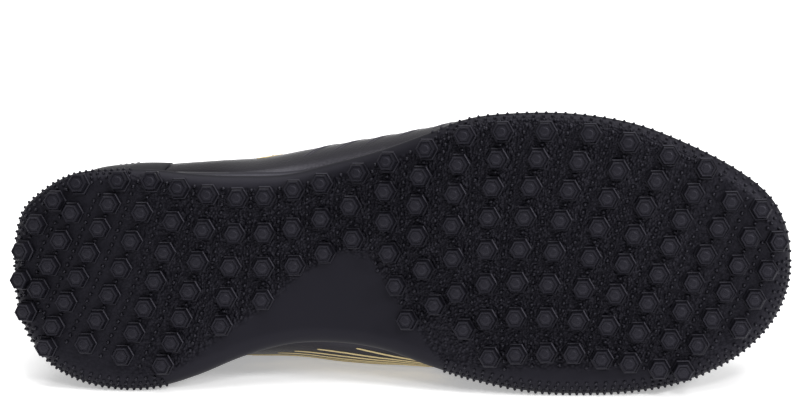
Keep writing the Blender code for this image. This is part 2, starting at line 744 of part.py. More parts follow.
def main():
    """Build every piece standing, then lay the shoe down with one empty."""
    clear_scene()
    pieces = [build_outsole(), build_midsole(), build_upper(), build_insole(), build_tongue()]
    pieces += build_overlays()
    pieces += build_laces()
    laid = bpy.data.objects.new("laid_down", None)
    bpy.context.scene.collection.objects.link(laid)
    laid.matrix_world = resting_matrix(pieces)
    for item in list(bpy.data.objects):
        if item is not laid:
            item.parent = laid


main()
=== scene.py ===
"""Looks of a field hockey shoe for the right foot, lying on its medial side.

Every piece is modelled in the shoe's own frame, with x from heel to toe, y towards the medial side and z up
from the ground under the stud tips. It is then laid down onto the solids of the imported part. All sizes are in
metres.
"""

import json
import logging
import math
from collections.abc import Callable, Sequence
from dataclasses import dataclass
from enum import Enum
from functools import cached_property
from typing import NamedTuple

import bmesh
import bpy
import numpy as np
from mathutils import Matrix, Vector


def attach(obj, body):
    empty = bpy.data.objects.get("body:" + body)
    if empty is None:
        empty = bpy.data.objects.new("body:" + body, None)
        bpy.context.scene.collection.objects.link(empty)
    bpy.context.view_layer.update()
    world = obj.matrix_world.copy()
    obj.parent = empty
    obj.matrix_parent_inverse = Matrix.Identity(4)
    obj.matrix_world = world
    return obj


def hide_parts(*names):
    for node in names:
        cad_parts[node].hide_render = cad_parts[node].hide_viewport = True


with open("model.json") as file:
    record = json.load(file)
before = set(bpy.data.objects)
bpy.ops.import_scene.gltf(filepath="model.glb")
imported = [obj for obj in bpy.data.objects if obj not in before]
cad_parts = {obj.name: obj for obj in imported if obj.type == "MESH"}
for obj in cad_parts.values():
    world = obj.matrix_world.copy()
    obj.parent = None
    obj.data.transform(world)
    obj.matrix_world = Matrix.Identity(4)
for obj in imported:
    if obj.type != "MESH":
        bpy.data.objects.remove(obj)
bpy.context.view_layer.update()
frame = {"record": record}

log = logging.getLogger("hockey_shoe")

Array = np.ndarray
Form = bmesh.types.BMesh
Piece = bpy.types.Object
Tree = bpy.types.NodeTree
Node = bpy.types.Node
Socket = bpy.types.NodeSocket
Colour = tuple[float, float, float]
Shape = Callable[[Array, Array], Array]
Line = tuple[tuple[float, float], ...]


class FormRow(NamedTuple):
    """One cross section: place along the length, outline on both sides, and the upper's insets."""

    at: float
    medial: float
    lateral: float
    medial_inset: float
    lateral_inset: float


class TopRow(NamedTuple):
    """The upper's top edge at a cross section: place, half width, heights, bows and how flat it lies."""

    at: float
    half: float
    heel: float
    instep: float
    medial_bow: float
    lateral_bow: float
    lay: float


class SideRow(NamedTuple):
    """The shoe from the side: how the tread lifts off the ground, and the midsole's two stack heights."""

    at: float
    spring: float
    arch: float
    bevel: float
    heel_stack: float
    ball_stack: float


class StudRow(NamedTuple):
    """One curved row of studs: its two ends, its bow, how its studs gather, and how many there are."""

    lateral_at: float
    lateral_side: float
    medial_at: float
    medial_side: float
    bow: float
    gather: float
    count: int


FORM = (
    FormRow(0.000, 0.050, 0.050, 0.95, 0.95),
    FormRow(0.010, 0.234, -0.145, 1.00, 0.90),
    FormRow(0.040, 0.364, -0.238, 1.05, 0.75),
    FormRow(0.085, 0.437, -0.303, 1.15, 0.60),
    FormRow(0.140, 0.467, -0.318, 1.20, 0.50),
    FormRow(0.190, 0.460, -0.316, 1.10, 0.40),
    FormRow(0.240, 0.420, -0.300, 0.80, 0.20),
    FormRow(0.300, 0.354, -0.291, 0.35, 0.10),
    FormRow(0.360, 0.312, -0.294, 0.05, 0.10),
    FormRow(0.420, 0.308, -0.332, 0.00, 0.20),
    FormRow(0.480, 0.332, -0.376, 0.05, 0.30),
    FormRow(0.540, 0.387, -0.434, 0.30, 0.45),
    FormRow(0.600, 0.436, -0.492, 0.52, 0.60),
    FormRow(0.670, 0.475, -0.509, 0.70, 0.65),
    FormRow(0.740, 0.483, -0.502, 0.75, 0.60),
    FormRow(0.810, 0.472, -0.465, 0.72, 0.60),
    FormRow(0.875, 0.433, -0.392, 0.66, 0.60),
    FormRow(0.935, 0.350, -0.300, 0.60, 0.60),
    FormRow(0.975, 0.243, -0.205, 0.60, 0.60),
    FormRow(0.995, 0.128, -0.098, 0.60, 0.60),
    FormRow(1.000, 0.015, 0.015, 0.60, 0.60),
)

TOP = (
    TopRow(0.030, 0.000, 1.000, 0.000, 0.35, 0.35, 0.00),
    TopRow(0.036, 0.100, 0.983, 0.000, 0.33, 0.35, 0.00),
    TopRow(0.062, 0.190, 0.920, 0.000, 0.28, 0.32, 0.00),
    TopRow(0.105, 0.260, 0.837, 0.000, 0.22, 0.28, 0.00),
    TopRow(0.160, 0.297, 0.785, 0.000, 0.18, 0.24, 0.00),
    TopRow(0.215, 0.307, 0.800, 0.000, 0.22, 0.28, 0.00),
    TopRow(0.275, 0.297, 0.700, 0.170, 0.38, 0.36, 0.00),
    TopRow(0.330, 0.267, 0.350, 0.595, 0.72, 0.48, 0.00),
    TopRow(0.375, 0.222, 0.000, 1.000, 1.02, 0.78, 0.05),
    TopRow(0.420, 0.185, 0.000, 0.947, 1.26, 0.88, 0.20),
    TopRow(0.470, 0.160, 0.000, 0.883, 1.25, 0.88, 0.40),
    TopRow(0.520, 0.140, 0.000, 0.814, 0.98, 0.77, 0.60),
    TopRow(0.570, 0.115, 0.000, 0.750, 0.66, 0.63, 0.80),
    TopRow(0.615, 0.075, 0.000, 0.697, 0.48, 0.60, 0.92),
    TopRow(0.640, 0.000, 0.000, 0.670, 0.45, 0.57, 1.00),
    TopRow(0.700, 0.000, 0.000, 0.633, 0.45, 0.55, 1.00),
    TopRow(0.760, 0.000, 0.000, 0.606, 0.45, 0.50, 1.00),
    TopRow(0.820, 0.000, 0.000, 0.580, 0.48, 0.48, 1.00),
    TopRow(0.860, 0.000, 0.000, 0.560, 0.45, 0.45, 1.00),
    TopRow(0.885, 0.000, 0.000, 0.545, 0.45, 0.45, 1.00),
    TopRow(0.890, 0.000, 0.000, 0.540, 0.45, 0.45, 1.00),
)

# The cross section at the throat's upper end, where the collar's padding ends too.
THROAT_TOP = TOP[8]

SIDE = (
    SideRow(0.00, 0.00, 0.00, 1.00, 1.00, 0.00),
    SideRow(0.05, 0.00, 0.00, 0.40, 0.99, 0.00),
    SideRow(0.12, 0.00, 0.00, 0.00, 0.97, 0.00),
    SideRow(0.25, 0.00, 0.00, 0.00, 0.90, 0.04),
    SideRow(0.33, 0.00, 0.60, 0.00, 0.60, 0.50),
    SideRow(0.42, 0.00, 1.00, 0.00, 0.25, 0.95),
    SideRow(0.50, 0.00, 0.60, 0.00, 0.06, 1.08),
    SideRow(0.60, 0.00, 0.00, 0.00, 0.00, 1.03),
    SideRow(0.70, 0.00, 0.00, 0.00, 0.00, 1.00),
    SideRow(0.80, 0.08, 0.00, 0.00, 0.00, 1.03),
    SideRow(0.90, 0.42, 0.00, 0.00, 0.00, 1.17),
    SideRow(1.00, 1.00, 0.00, 0.00, 0.00, 1.50),
)

STUDS = (
    StudRow(0.093, -0.285, 0.046, 0.312, -0.056, -0.29, 7),
    StudRow(0.085, -0.168, 0.037, 0.106, 0.001, 0.12, 4),
    StudRow(0.147, -0.289, 0.056, 0.240, 0.004, 0.00, 7),
    StudRow(0.189, -0.276, 0.098, 0.300, 0.006, 0.13, 7),
    StudRow(0.225, -0.252, 0.146, 0.342, 0.010, 0.21, 7),
    StudRow(0.262, -0.230, 0.198, 0.375, 0.010, 0.26, 7),
    StudRow(0.299, -0.218, 0.275, 0.235, 0.002, 0.16, 5),
    StudRow(0.334, -0.220, 0.328, 0.146, 0.000, 0.08, 4),
    StudRow(0.371, -0.242, 0.370, 0.025, -0.002, 0.00, 3),
    StudRow(0.407, -0.264, 0.409, -0.018, -0.002, 0.00, 3),
    StudRow(0.455, -0.300, 0.447, -0.070, -0.007, 0.00, 3),
    StudRow(0.494, -0.339, 0.515, 0.218, -0.013, -0.11, 6),
    StudRow(0.545, -0.385, 0.552, 0.163, -0.018, -0.18, 6),
    StudRow(0.594, -0.432, 0.589, 0.248, -0.015, -0.16, 7),
    StudRow(0.642, -0.446, 0.621, 0.348, -0.012, -0.21, 8),
    StudRow(0.697, -0.447, 0.655, 0.337, -0.013, -0.19, 8),
    StudRow(0.753, -0.437, 0.693, 0.332, -0.016, -0.15, 8),
    StudRow(0.802, -0.405, 0.728, 0.334, -0.011, -0.12, 8),
    StudRow(0.851, -0.358, 0.764, 0.354, -0.011, -0.17, 8),
    StudRow(0.897, -0.310, 0.799, 0.368, -0.008, -0.13, 8),
    StudRow(0.928, -0.194, 0.836, 0.390, -0.004, -0.07, 7),
    StudRow(0.964, -0.163, 0.865, 0.396, 0.006, 0.05, 7),
    StudRow(0.985, -0.050, 0.937, 0.252, 0.003, 0.00, 4),
)


def curve(knots: Sequence[Array], part: Array) -> Array:
    """Points between two knots, on a smooth curve that runs through them.

    Args:
        knots: The knot before, the two knots on either side, and the knot beyond.
        part: How far the points lie from the second knot to the third.

    Returns:
        The points.
    """
    before, here, after, beyond = knots
    line = 2.0 * here + (after - before) * part
    square = (2.0 * before - 5.0 * here + 4.0 * after - beyond) * part ** 2
    cube = (3.0 * here - before - 3.0 * after + beyond) * part ** 3
    return 0.5 * (line + square + cube)


class Flank(Enum):
    """The two sides of the shoe."""

    MEDIAL = 1
    LATERAL = -1


@dataclass(frozen=True)
class Last:
    """The shoe's form, worked out from a few driving sizes as the solids are."""

    length: float = 0.288
    ball_width: float = 0.104
    heel_height: float = 0.086
    instep_height: float = 0.094
    toe_spring: float = 0.009
    arch_rise: float = 0.004
    heel_bevel: float = 0.004
    heel_stack: float = 0.026
    ball_stack: float = 0.0165
    feather_inset: float = 0.008
    bulge: float = 0.020
    stud_height: float = 0.0045
    gap: float = 0.0003
    belly: float = 0.45
    belly_lay: float = 0.25
    belly_bow: float = 0.25
    top_side: float = 0.5
    top_drop: float = 0.35
    top_reach: float = 0.55

    def rib_row(self, index: int, flank: Flank) -> tuple[float, ...]:
        """One row of the closed table: outline, inset, top edge, bow and lay.

        Args:
            index: Number of the cross section, from the heel.
            flank: Side of the shoe that the row is for.

        Returns:
            The nine values of the row in metres, the last one a share.
        """
        form = FORM[index]
        top = TOP[index]
        medial = flank is Flank.MEDIAL
        medial_foot = form.medial * self.ball_width - form.medial_inset * self.feather_inset
        lateral_foot = form.lateral * self.ball_width + form.lateral_inset * self.feather_inset
        edge = form.medial if medial else form.lateral
        inset = form.medial_inset if medial else form.lateral_inset
        bow = top.medial_bow if medial else top.lateral_bow
        middle = 0.5 * (medial_foot + lateral_foot)
        if index in (0, len(FORM) - 1):
            middle = edge * self.ball_width
        return (
            form.at * self.length,
            edge * self.ball_width,
            inset * self.feather_inset,
            top.at * self.length,
            middle,
            top.half * self.ball_width * flank.value,
            top.heel * self.heel_height + top.instep * self.instep_height,
            bow * self.bulge,
            top.lay,
        )

    @cached_property
    def toe(self) -> int:
        """The place of the toe's tip in the closed table."""
        return len(FORM) - 1

    @cached_property
    def table(self) -> Array:
        """The closed table, from the heel's back along the medial side and back along the lateral one."""
        medial = [self.rib_row(index, Flank.MEDIAL) for index in range(self.toe + 1)]
        lateral = [self.rib_row(index, Flank.LATERAL) for index in range(self.toe - 1, 0, -1)]
        return np.array(medial + lateral)

    @cached_property
    def places(self) -> int:
        """How many places the closed table has."""
        return len(self.table)

    def place(self, share: float | Array, flank: Flank) -> Array:
        """The place on one side at a share of the length.

        Args:
            share: Distance from the heel as a share of the length.
            flank: Side of the shoe.

        Returns:
            Places in the closed table.
        """
        found = np.interp(share, [row.at for row in FORM], np.arange(len(FORM)))
        return found if flank is Flank.MEDIAL else self.places - found

    def spline(self, places: Array) -> Array:
        """Rows of the table at any places, on a smooth curve through its own rows."""
        first = np.floor(places).astype(int)
        knots = [self.table[(first + step) % self.places] for step in (-1, 0, 1, 2)]
        return curve(knots, (places - first)[:, None])

    def along(self, at: Array, column: str) -> Array:
        """A column of the side table at distances from the heel, smooth and without overshoot.

        Args:
            at: Distances from the heel.
            column: Name of the column.

        Returns:
            The column's values there.
        """
        knots = np.array([row.at for row in SIDE]) * self.length
        values = np.array([getattr(row, column) for row in SIDE])
        steps = np.diff(values) / np.diff(knots)
        slopes = np.zeros(len(knots))
        rising = steps[:-1] * steps[1:] > 0.0
        slopes[1:-1][rising] = 2.0 * (steps[:-1] * steps[1:])[rising] / (steps[:-1] + steps[1:])[rising]
        slopes[-1] = steps[-1]
        slopes[0] = steps[0]
        at = np.clip(at, knots[0], knots[-1])
        index = np.clip(np.searchsorted(knots, at) - 1, 0, len(knots) - 2)
        span = knots[index + 1] - knots[index]
        part = (at - knots[index]) / span
        start = (1.0 + 2.0 * part) * (1.0 - part) ** 2 * values[index]
        start = start + part * (1.0 - part) ** 2 * span * slopes[index]
        end = part ** 2 * (3.0 - 2.0 * part) * values[index + 1]
        return start + end + part ** 2 * (part - 1.0) * span * slopes[index + 1]

    def tread(self, at: Array) -> Array:
        """Height of the outsole's flat underside above the ground."""
        lift = self.along(at, "spring") * self.toe_spring + self.along(at, "arch") * self.arch_rise
        return self.stud_height + lift + self.along(at, "bevel") * self.heel_bevel

    def feather(self, at: Array) -> Array:
        """Height of the midsole's upper edge, where the upper starts."""
        heel = self.along(at, "heel_stack") * self.heel_stack
        return heel + self.along(at, "ball_stack") * self.ball_stack

    def insets(self, places: Array) -> Array:
        """How far the upper's lower edge stands inside the outline."""
        return self.spline(places)[:, 2]

    def outline(self, places: Array, inset: float | Array = 0.0) -> tuple[Array, Array]:
        """Points of the outsole's outline.

        Args:
            places: Places in the closed table.
            inset: How far the points are moved inwards.

        Returns:
            The points and the directions that face out, both flat.
        """
        step = 0.02
        run = self.spline(places + step)[:, :2] - self.spline(places - step)[:, :2]
        run = run / np.linalg.norm(run, axis=1)[:, None]
        outward = np.column_stack((-run[:, 1], run[:, 0]))
        return self.spline(places)[:, :2] - outward * np.reshape(inset, (-1, 1)), outward

    def ribs(self, places: Array, shares: Array) -> Array:
        """Points of the upper's outer face, one for each pair of place and share of the rib's rise."""
        inset, top_at, middle, half, top_up, bow, lay = self.spline(places)[:, 2:].T
        flat, outward = self.outline(places, inset)
        foot = np.column_stack((flat, self.feather(flat[:, 0]) + self.gap))
        half = np.where(np.abs(half) < 2.0 * self.gap, 0.0, half)
        medial = np.mod(places, self.places) <= self.toe
        half = np.where(medial, np.maximum(half, 0.0), np.minimum(half, 0.0))
        top = np.column_stack((top_at, middle + half, top_up))
        rise = (top[:, 2] - foot[:, 2])[:, None]
        lay = lay[:, None]
        side = np.column_stack((outward, np.zeros(len(outward)))) * bow[:, None]
        up = np.array((0.0, 0.0, 1.0))
        reach = (foot - top) * (1.0, 1.0, 0.0)
        belly = self.belly + self.belly_lay * lay - self.belly_bow * bow[:, None] / self.bulge
        low = foot + side + up * rise * belly
        standing = side * self.top_side - up * rise * self.top_drop
        high = top + (1.0 - lay) * standing + lay * reach * self.top_reach
        share = np.asarray(shares, dtype=float)[:, None]
        start = (1.0 - share) ** 3 * foot + 3.0 * share * (1.0 - share) ** 2 * low
        return start + 3.0 * share ** 2 * (1.0 - share) * high + share ** 3 * top

    def normals(self, places: Array, shares: Array) -> Array:
        """Directions that face out of the upper."""
        step = 0.01
        run = self.ribs(places + step, shares) - self.ribs(places - step, shares)
        above = self.ribs(places, np.minimum(shares + step, 1.0))
        below = self.ribs(places, np.maximum(shares - step, 0.0))
        normal = np.cross(above - below, run)
        return normal / np.linalg.norm(normal, axis=1)[:, None]

    def face(self, places: Array, shares: Array, lift: float | Array) -> Array:
        """Points lifted off the upper's outer face, or sunk into it where the lift is negative."""
        return self.ribs(places, shares) + self.normals(places, shares) * np.reshape(lift, (-1, 1))


LAST = Last()
FINE_OUTLINE = LAST.outline(np.linspace(0.0, LAST.places, 400, endpoint=False))

# The least distance from the middle of a stud to the outline.
STUD_EDGE = 0.0042

# The two studs whose tips are the record's bearing faces, at the heel and at the forefoot.
BEARING_STUDS = (27, 88)

# How many small shapes are joined at a time.
BATCH = 50

# Distances below which points count as one, and edges as nothing.
MERGE = 0.00001
DEGENERATE = 0.000001

# The border of the smooth panel in the arch, as shares of the length and of the ball's width.
ARCH_BORDER: Line = (
    (0.20, 0.46), (0.27, 0.30), (0.33, 0.19), (0.38, 0.07),
    (0.43, -0.01), (0.47, 0.02), (0.50, 0.16), (0.56, 0.40),
)


def standing_to_lying() -> Matrix:
    """The turn and shift from the shoe's own frame to the row, from the two bearing faces of the record.

    Returns:
        The matrix that lays a standing piece onto the solids.
    """
    heel, forefoot = frame["record"]["mounts"]
    spots = stud_spots()
    standing = Vector(spots[BEARING_STUDS[1]]) - Vector(spots[BEARING_STUDS[0]])
    lying = Vector(forefoot["pos_m"]) - Vector(heel["pos_m"])
    up = -Vector(heel["axis"]).normalized()
    ahead = (lying - up * lying.dot(up)).normalized()
    aside = up.cross(ahead)
    yaw = math.atan2(standing.y, standing.x)
    toe_ward = ahead * math.cos(yaw) - aside * math.sin(yaw)
    turn = Matrix((toe_ward, up.cross(toe_ward), up)).transposed()
    start = Vector((*spots[BEARING_STUDS[0]], 0.0))
    return Matrix.Translation(Vector(heel["pos_m"]) - turn @ start) @ turn.to_4x4()


def edge_distance(at: float, side: float) -> tuple[float, Array]:
    """How far a spot lies inside the outline, and the direction out to it."""
    points, outward = FINE_OUTLINE
    distances = np.hypot(points[:, 0] - at, points[:, 1] - side)
    nearest = int(np.argmin(distances))
    return float(distances[nearest]), outward[nearest]


def row_spot(row: StudRow, share: float) -> Array:
    """A spot along a curved row of studs, pushed in from the outline.

    Args:
        row: The row of studs.
        share: How far along, 0 at its lateral and 1 at its medial end.

    Returns:
        The spot's distance from the heel and its side.
    """
    bowed = share + row.gather * share * (1.0 - share)
    at = row.lateral_at + (row.medial_at - row.lateral_at) * bowed + 4.0 * row.bow * bowed * (1.0 - bowed)
    side = row.lateral_side + (row.medial_side - row.lateral_side) * bowed
    spot = np.array((at * LAST.length, side * LAST.ball_width))
    distance, outward = edge_distance(*spot)
    return spot - outward * max(STUD_EDGE - distance, 0.0)


def stud_spots() -> list[tuple[float, float]]:
    """Where each stud stands, row by row from the heel."""
    return [tuple(row_spot(row, index / (row.count - 1))) for row in STUDS for index in range(row.count)]


# Builders


def soft_step(value: float, start: float, end: float) -> float:
    """0 below a start and 1 above an end, with a soft rise between."""
    part = min(max((value - start) / (end - start), 0.0), 1.0)
    return part * part * (3.0 - 2.0 * part)


def add_grid(form: Form, columns: int, rows: int, shape: Shape, scale: tuple[float, float]) -> list:
    """Add a grid to a mesh and bend it into a surface.

    Args:
        form: The mesh that gets the grid.
        columns: Faces along the grid's first direction.
        rows: Faces along its second direction.
        shape: Gives a point for each pair of shares along the two directions.
        scale: Real lengths of the two directions, for the UV map.

    Returns:
        The grid's vertices.
    """
    layer = form.loops.layers.uv.verify()
    made = bmesh.ops.create_grid(form, x_segments=columns, y_segments=rows, size=0.5, calc_uvs=True)
    spots = np.array([vert.co[:2] for vert in made["verts"]]) + 0.5
    for vert, point in zip(made["verts"], shape(spots[:, 0], spots[:, 1])):
        vert.co = point
    faces = {face for vert in made["verts"] for face in vert.link_faces}
    for face in faces:
        for loop in face.loops:
            loop[layer].uv = (loop[layer].uv[0] * scale[0], loop[layer].uv[1] * scale[1])
    return made["verts"]


def weld(form: Form, outwards: bool = True) -> None:
    """Merge doubled vertices, and turn a closed shape's faces outwards."""
    bmesh.ops.remove_doubles(form, verts=form.verts[:], dist=MERGE)
    bmesh.ops.dissolve_degenerate(form, edges=form.edges[:], dist=DEGENERATE)
    if outwards:
        bmesh.ops.recalc_face_normals(form, faces=form.faces[:])


def add_many(form: Form, places: Sequence[Matrix], make: Callable[[Form, Matrix], object]) -> None:
    """Add a small shape at many places, in batches, which keeps the work short.

    Args:
        form: The mesh that gets the shapes.
        places: Where each one goes.
        make: Adds one shape to a mesh at a place.
    """
    for start in range(0, len(places), BATCH):
        batch = bmesh.new()
        for place in places[start:start + BATCH]:
            make(batch, place)
        mesh = bpy.data.meshes.new("batch")
        batch.to_mesh(mesh)
        batch.free()
        form.from_mesh(mesh)
        bpy.data.meshes.remove(mesh)


class Ring(NamedTuple):
    """One line round the sole: its inset at each place, and its height at each distance from the heel."""

    inset: Callable[[Array], Array]
    height: Callable[[Array], Array]


def add_rings(form: Form, rings: Sequence[Ring], columns: int) -> None:
    """Add a wall that runs round the sole through a list of rings.

    Args:
        form: The mesh that gets the wall.
        rings: The rings, in order.
        columns: Faces round the sole, an even number.
    """

    def shape(u: Array, v: Array) -> Array:
        number = np.rint(v * (len(rings) - 1)).astype(int)
        points = np.zeros((len(u), 3))
        for index, ring in enumerate(rings):
            here = number == index
            places = u[here] * LAST.places
            flat, _ = LAST.outline(places, ring.inset(places))
            points[here] = np.column_stack((flat, ring.height(flat[:, 0])))
        return points

    around = 2.2 * LAST.length
    wall_height = 0.03
    add_grid(form, columns, len(rings) - 1, shape, (around, wall_height))


def add_cap(form: Form, ring: Ring, columns: int, across: int) -> None:
    """Close a ring of the sole with strips from its medial to its lateral side.

    Args:
        form: The mesh that gets the cap.
        ring: The ring that it closes.
        columns: Faces round the ring, an even number.
        across: Faces from side to side.
    """

    def shape(u: Array, v: Array) -> Array:
        medial = u * LAST.toe
        lateral = LAST.places - medial
        near, _ = LAST.outline(medial, ring.inset(medial))
        far, _ = LAST.outline(lateral, ring.inset(lateral))
        flat = near + (far - near) * v[:, None]
        return np.column_stack((flat, ring.height(flat[:, 0])))

    add_grid(form, columns // 2, across, shape, (LAST.length, LAST.ball_width))


def add_band(form: Form, path: Array, normals: Array, widths: Array, heights: Array, sides: int) -> None:
    """Add a flat, rounded band along a path, closed at both ends.

    Args:
        form: The mesh that gets the band.
        path: Points along its middle.
        normals: Directions that its flat face looks to, one for each point.
        widths: Its width at each point.
        heights: Its thickness at each point.
        sides: Corners of its cross section.
    """
    run = np.gradient(path, axis=0)
    run = run / np.linalg.norm(run, axis=1)[:, None]
    side = np.cross(run, normals)
    side = side / np.linalg.norm(side, axis=1)[:, None]
    top = np.cross(side, run)
    distance = float(np.linalg.norm(np.diff(path, axis=0), axis=1).sum())
    count = len(path) - 1
    boxy = 0.8

    def shape(u: Array, v: Array) -> Array:
        index = np.clip(np.rint(u * (count + 2)).astype(int) - 1, 0, count)
        closed = np.where((u < 1e-6) | (u > 1.0 - 1e-6), 0.0, 1.0)
        angle = 2.0 * math.pi * v
        across = np.sign(np.cos(angle)) * np.abs(np.cos(angle)) ** boxy * 0.5 * widths[index] * closed
        up = np.sign(np.sin(angle)) * np.abs(np.sin(angle)) ** boxy * 0.5 * heights[index] * closed
        return path[index] + side[index] * across[:, None] + top[index] * up[:, None]

    add_grid(form, count + 2, sides, shape, (distance, float(np.max(widths)) * 2.0))


def smooth_path(points: Array, count: int) -> Array:
    """A smooth open curve through a few points.

    Args:
        points: The points, a row each.
        count: How many points the curve gets.

    Returns:
        The curve's points.
    """
    ends = np.vstack((2.0 * points[0] - points[1], points, 2.0 * points[-1] - points[-2]))
    places = np.linspace(0.0, len(points) - 1 - 1e-9, count)
    first = np.floor(places).astype(int)
    return curve([ends[first + step] for step in range(4)], (places - first)[:, None])


def even_steps(path: Array, pitch: float) -> Array:
    """Shares along a path that lie at an even pitch."""
    lengths = np.concatenate(([0.0], np.cumsum(np.linalg.norm(np.diff(path, axis=0), axis=1))))
    count = max(int(lengths[-1] / pitch), 2)
    targets = np.linspace(0.0, lengths[-1], count + 1)
    return np.interp(targets, lengths, np.linspace(0.0, 1.0, len(path)))


def add_trim(form: Form, spots: Array, width: float, height: float, lift: float) -> None:
    """Add a thin raised strip on the upper.

    Args:
        form: The mesh that gets the strip.
        spots: Places and shares along the strip.
        width: Its width.
        height: Its thickness.
        lift: Height of its middle off the upper's face.
    """
    steps, sides = 80, 8
    blunt, tip = 0.12, 0.15
    spots = smooth_path(spots, steps)
    path = LAST.face(spots[:, 0], spots[:, 1], lift)
    normals = LAST.normals(spots[:, 0], spots[:, 1])
    ends = np.sin(np.linspace(0.0, math.pi, steps)) ** blunt
    ends[[0, -1]] = tip
    add_band(form, path, normals, width * ends, height * ends, sides)


def add_stitches(form: Form, spots: Array, lift: float) -> None:
    """Add a run of stitches on the upper.

    Args:
        form: The mesh that gets them.
        spots: Places and shares along the run.
        lift: Height of the thread off the upper's face.
    """
    pitch, thread = 0.0026, 0.00045
    steps = 160
    half_length, flatness = 0.36, 0.7
    spots = smooth_path(spots, steps)
    path = LAST.face(spots[:, 0], spots[:, 1], lift)
    shares = even_steps(path, pitch)
    fine = np.linspace(0.0, 1.0, len(path))
    middles = np.column_stack([np.interp(shares, fine, path[:, axis]) for axis in range(3)])
    places = np.column_stack([np.interp(shares, fine, spots[:, axis]) for axis in range(2)])
    normals = LAST.normals(places[:, 0], places[:, 1])
    runs = np.gradient(middles, axis=0)
    size = Matrix.Diagonal((half_length * pitch, thread, flatness * thread, 1.0))
    stitches = []
    for middle, run, normal in zip(middles, runs, normals):
        ahead = Vector(run).normalized()
        aside = Vector(normal).cross(ahead).normalized()
        turn = Matrix((ahead, aside, ahead.cross(aside))).transposed().to_4x4()
        stitches.append(Matrix.Translation(Vector(middle)) @ turn @ size)
    add_many(form, stitches, lambda batch, place: bmesh.ops.create_icosphere(
        batch, subdivisions=1, radius=1.0, matrix=place,
    ))


def add_patch(
    form: Form,
    cells: tuple[int, int],
    spot: Callable[[Array, Array], tuple[Array, Array]],
    size: tuple[float, float],
    thickness: float,
    seat: float,
    taper: float = 0.0,
) -> None:
    """Add a thin overlay on the upper, with rounded borders and a closed back.

    Args:
        form: The mesh that gets the overlay.
        cells: Faces along and up.
        spot: Gives the place and share for each pair of shares along the overlay.
        size: Its length and height, for the borders and the UV map.
        thickness: Its thickness.
        seat: Height of its back off the upper's face.
        taper: Length over which its two ends thin out.
    """
    rounding, thin_end, evenness = 1.1, 0.25, 0.35

    def border(u: Array, v: Array) -> Array:
        end = np.minimum(u, 1.0 - u) * size[0]
        gap = np.minimum(end, np.minimum(v, 1.0 - v) * size[1])
        edge = np.sqrt(1.0 - (1.0 - np.clip(gap / (rounding * thickness), 0.0, 1.0)) ** 2)
        full = np.clip(end / max(taper, thickness), 0.0, 1.0) if taper else 1.0
        return edge * (thin_end + (1.0 - thin_end) * full)

    def crowd(share: Array) -> Array:
        return evenness * share + (1.0 - evenness) * (0.5 - 0.5 * np.cos(math.pi * share))

    for height in (thickness, 0.0):

        def shape(u: Array, v: Array, height: float = height) -> Array:
            u, v = crowd(u), crowd(v)
            return LAST.face(*spot(u, v), seat + height * border(u, v))

        add_grid(form, *cells, shape, size)
    weld(form)


def finish_piece(
    name: str, form: Form, finishes: Sequence["Finish"], sharp: float = 35.0,
) -> Piece:
    """Lay a standing form down and turn it into a dressed piece of the object.

    Args:
        name: The piece's name.
        form: Its mesh in the shoe's own frame.
        finishes: Its finishes, in the order of its material slots.
        sharp: Angle in degrees above which an edge stays sharp.

    Returns:
        The piece.
    """
    bmesh.ops.transform(form, matrix=LAID, verts=form.verts[:])
    mesh = bpy.data.meshes.new(name)
    form.to_mesh(mesh)
    form.free()
    for finish in finishes:
        mesh.materials.append(finish.material())
    mesh.shade_smooth()
    mesh.set_sharp_from_angle(angle=math.radians(sharp))
    piece = bpy.data.objects.new(name, mesh)
    bpy.context.scene.collection.objects.link(piece)
    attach(piece, "root")
    log.info("%s: %d vertices", name, len(mesh.vertices))
    return piece


# Finishes


class Pattern(Enum):
    """What the fine surface of a finish is made of."""

    GRIT = "grit"
    GRAIN = "grain"
    KNIT = "knit"
    PLAIN = "plain"


def surface_group(name: str, fill: Callable[[Tree, Socket, Socket], tuple[Socket, Socket]]) -> Tree:
    """A shader node group for a fine surface, made once, with a height and a tone as its outputs.

    Args:
        name: The group's name.
        fill: Adds the nodes between a place and a scale, and gives the sockets of the height and the tone.

    Returns:
        The group.
    """
    found = bpy.data.node_groups.get(name)
    if found:
        return found
    group = bpy.data.node_groups.new(name, "ShaderNodeTree")
    group.interface.new_socket(name="Place", in_out="INPUT", socket_type="NodeSocketVector")
    group.interface.new_socket(name="Scale", in_out="INPUT", socket_type="NodeSocketFloat")
    for label in ("Height", "Tone"):
        group.interface.new_socket(name=label, in_out="OUTPUT", socket_type="NodeSocketFloat")
    source = group.nodes.new("NodeGroupInput")
    sink = group.nodes.new("NodeGroupOutput")
    height, tone = fill(group, source.outputs["Place"], source.outputs["Scale"])
    group.links.new(height, sink.inputs["Height"])
    group.links.new(tone, sink.inputs["Tone"])
    return group


def math_node(tree: Tree, operation: str, first: Socket | float, second: Socket | float) -> Socket:
    """Add a Math node, and give its output.

    Args:
        tree: The node tree.
        operation: Blender's name of the operation.
        first: A socket or a number.
        second: A socket or a number.

    Returns:
        The node's output.
    """
    node = tree.nodes.new("ShaderNodeMath")
    node.operation = operation
    for socket, value in zip(node.inputs, (first, second)):
        if isinstance(value, Socket):
            tree.links.new(value, socket)
        else:
            socket.default_value = value
    return node.outputs[0]


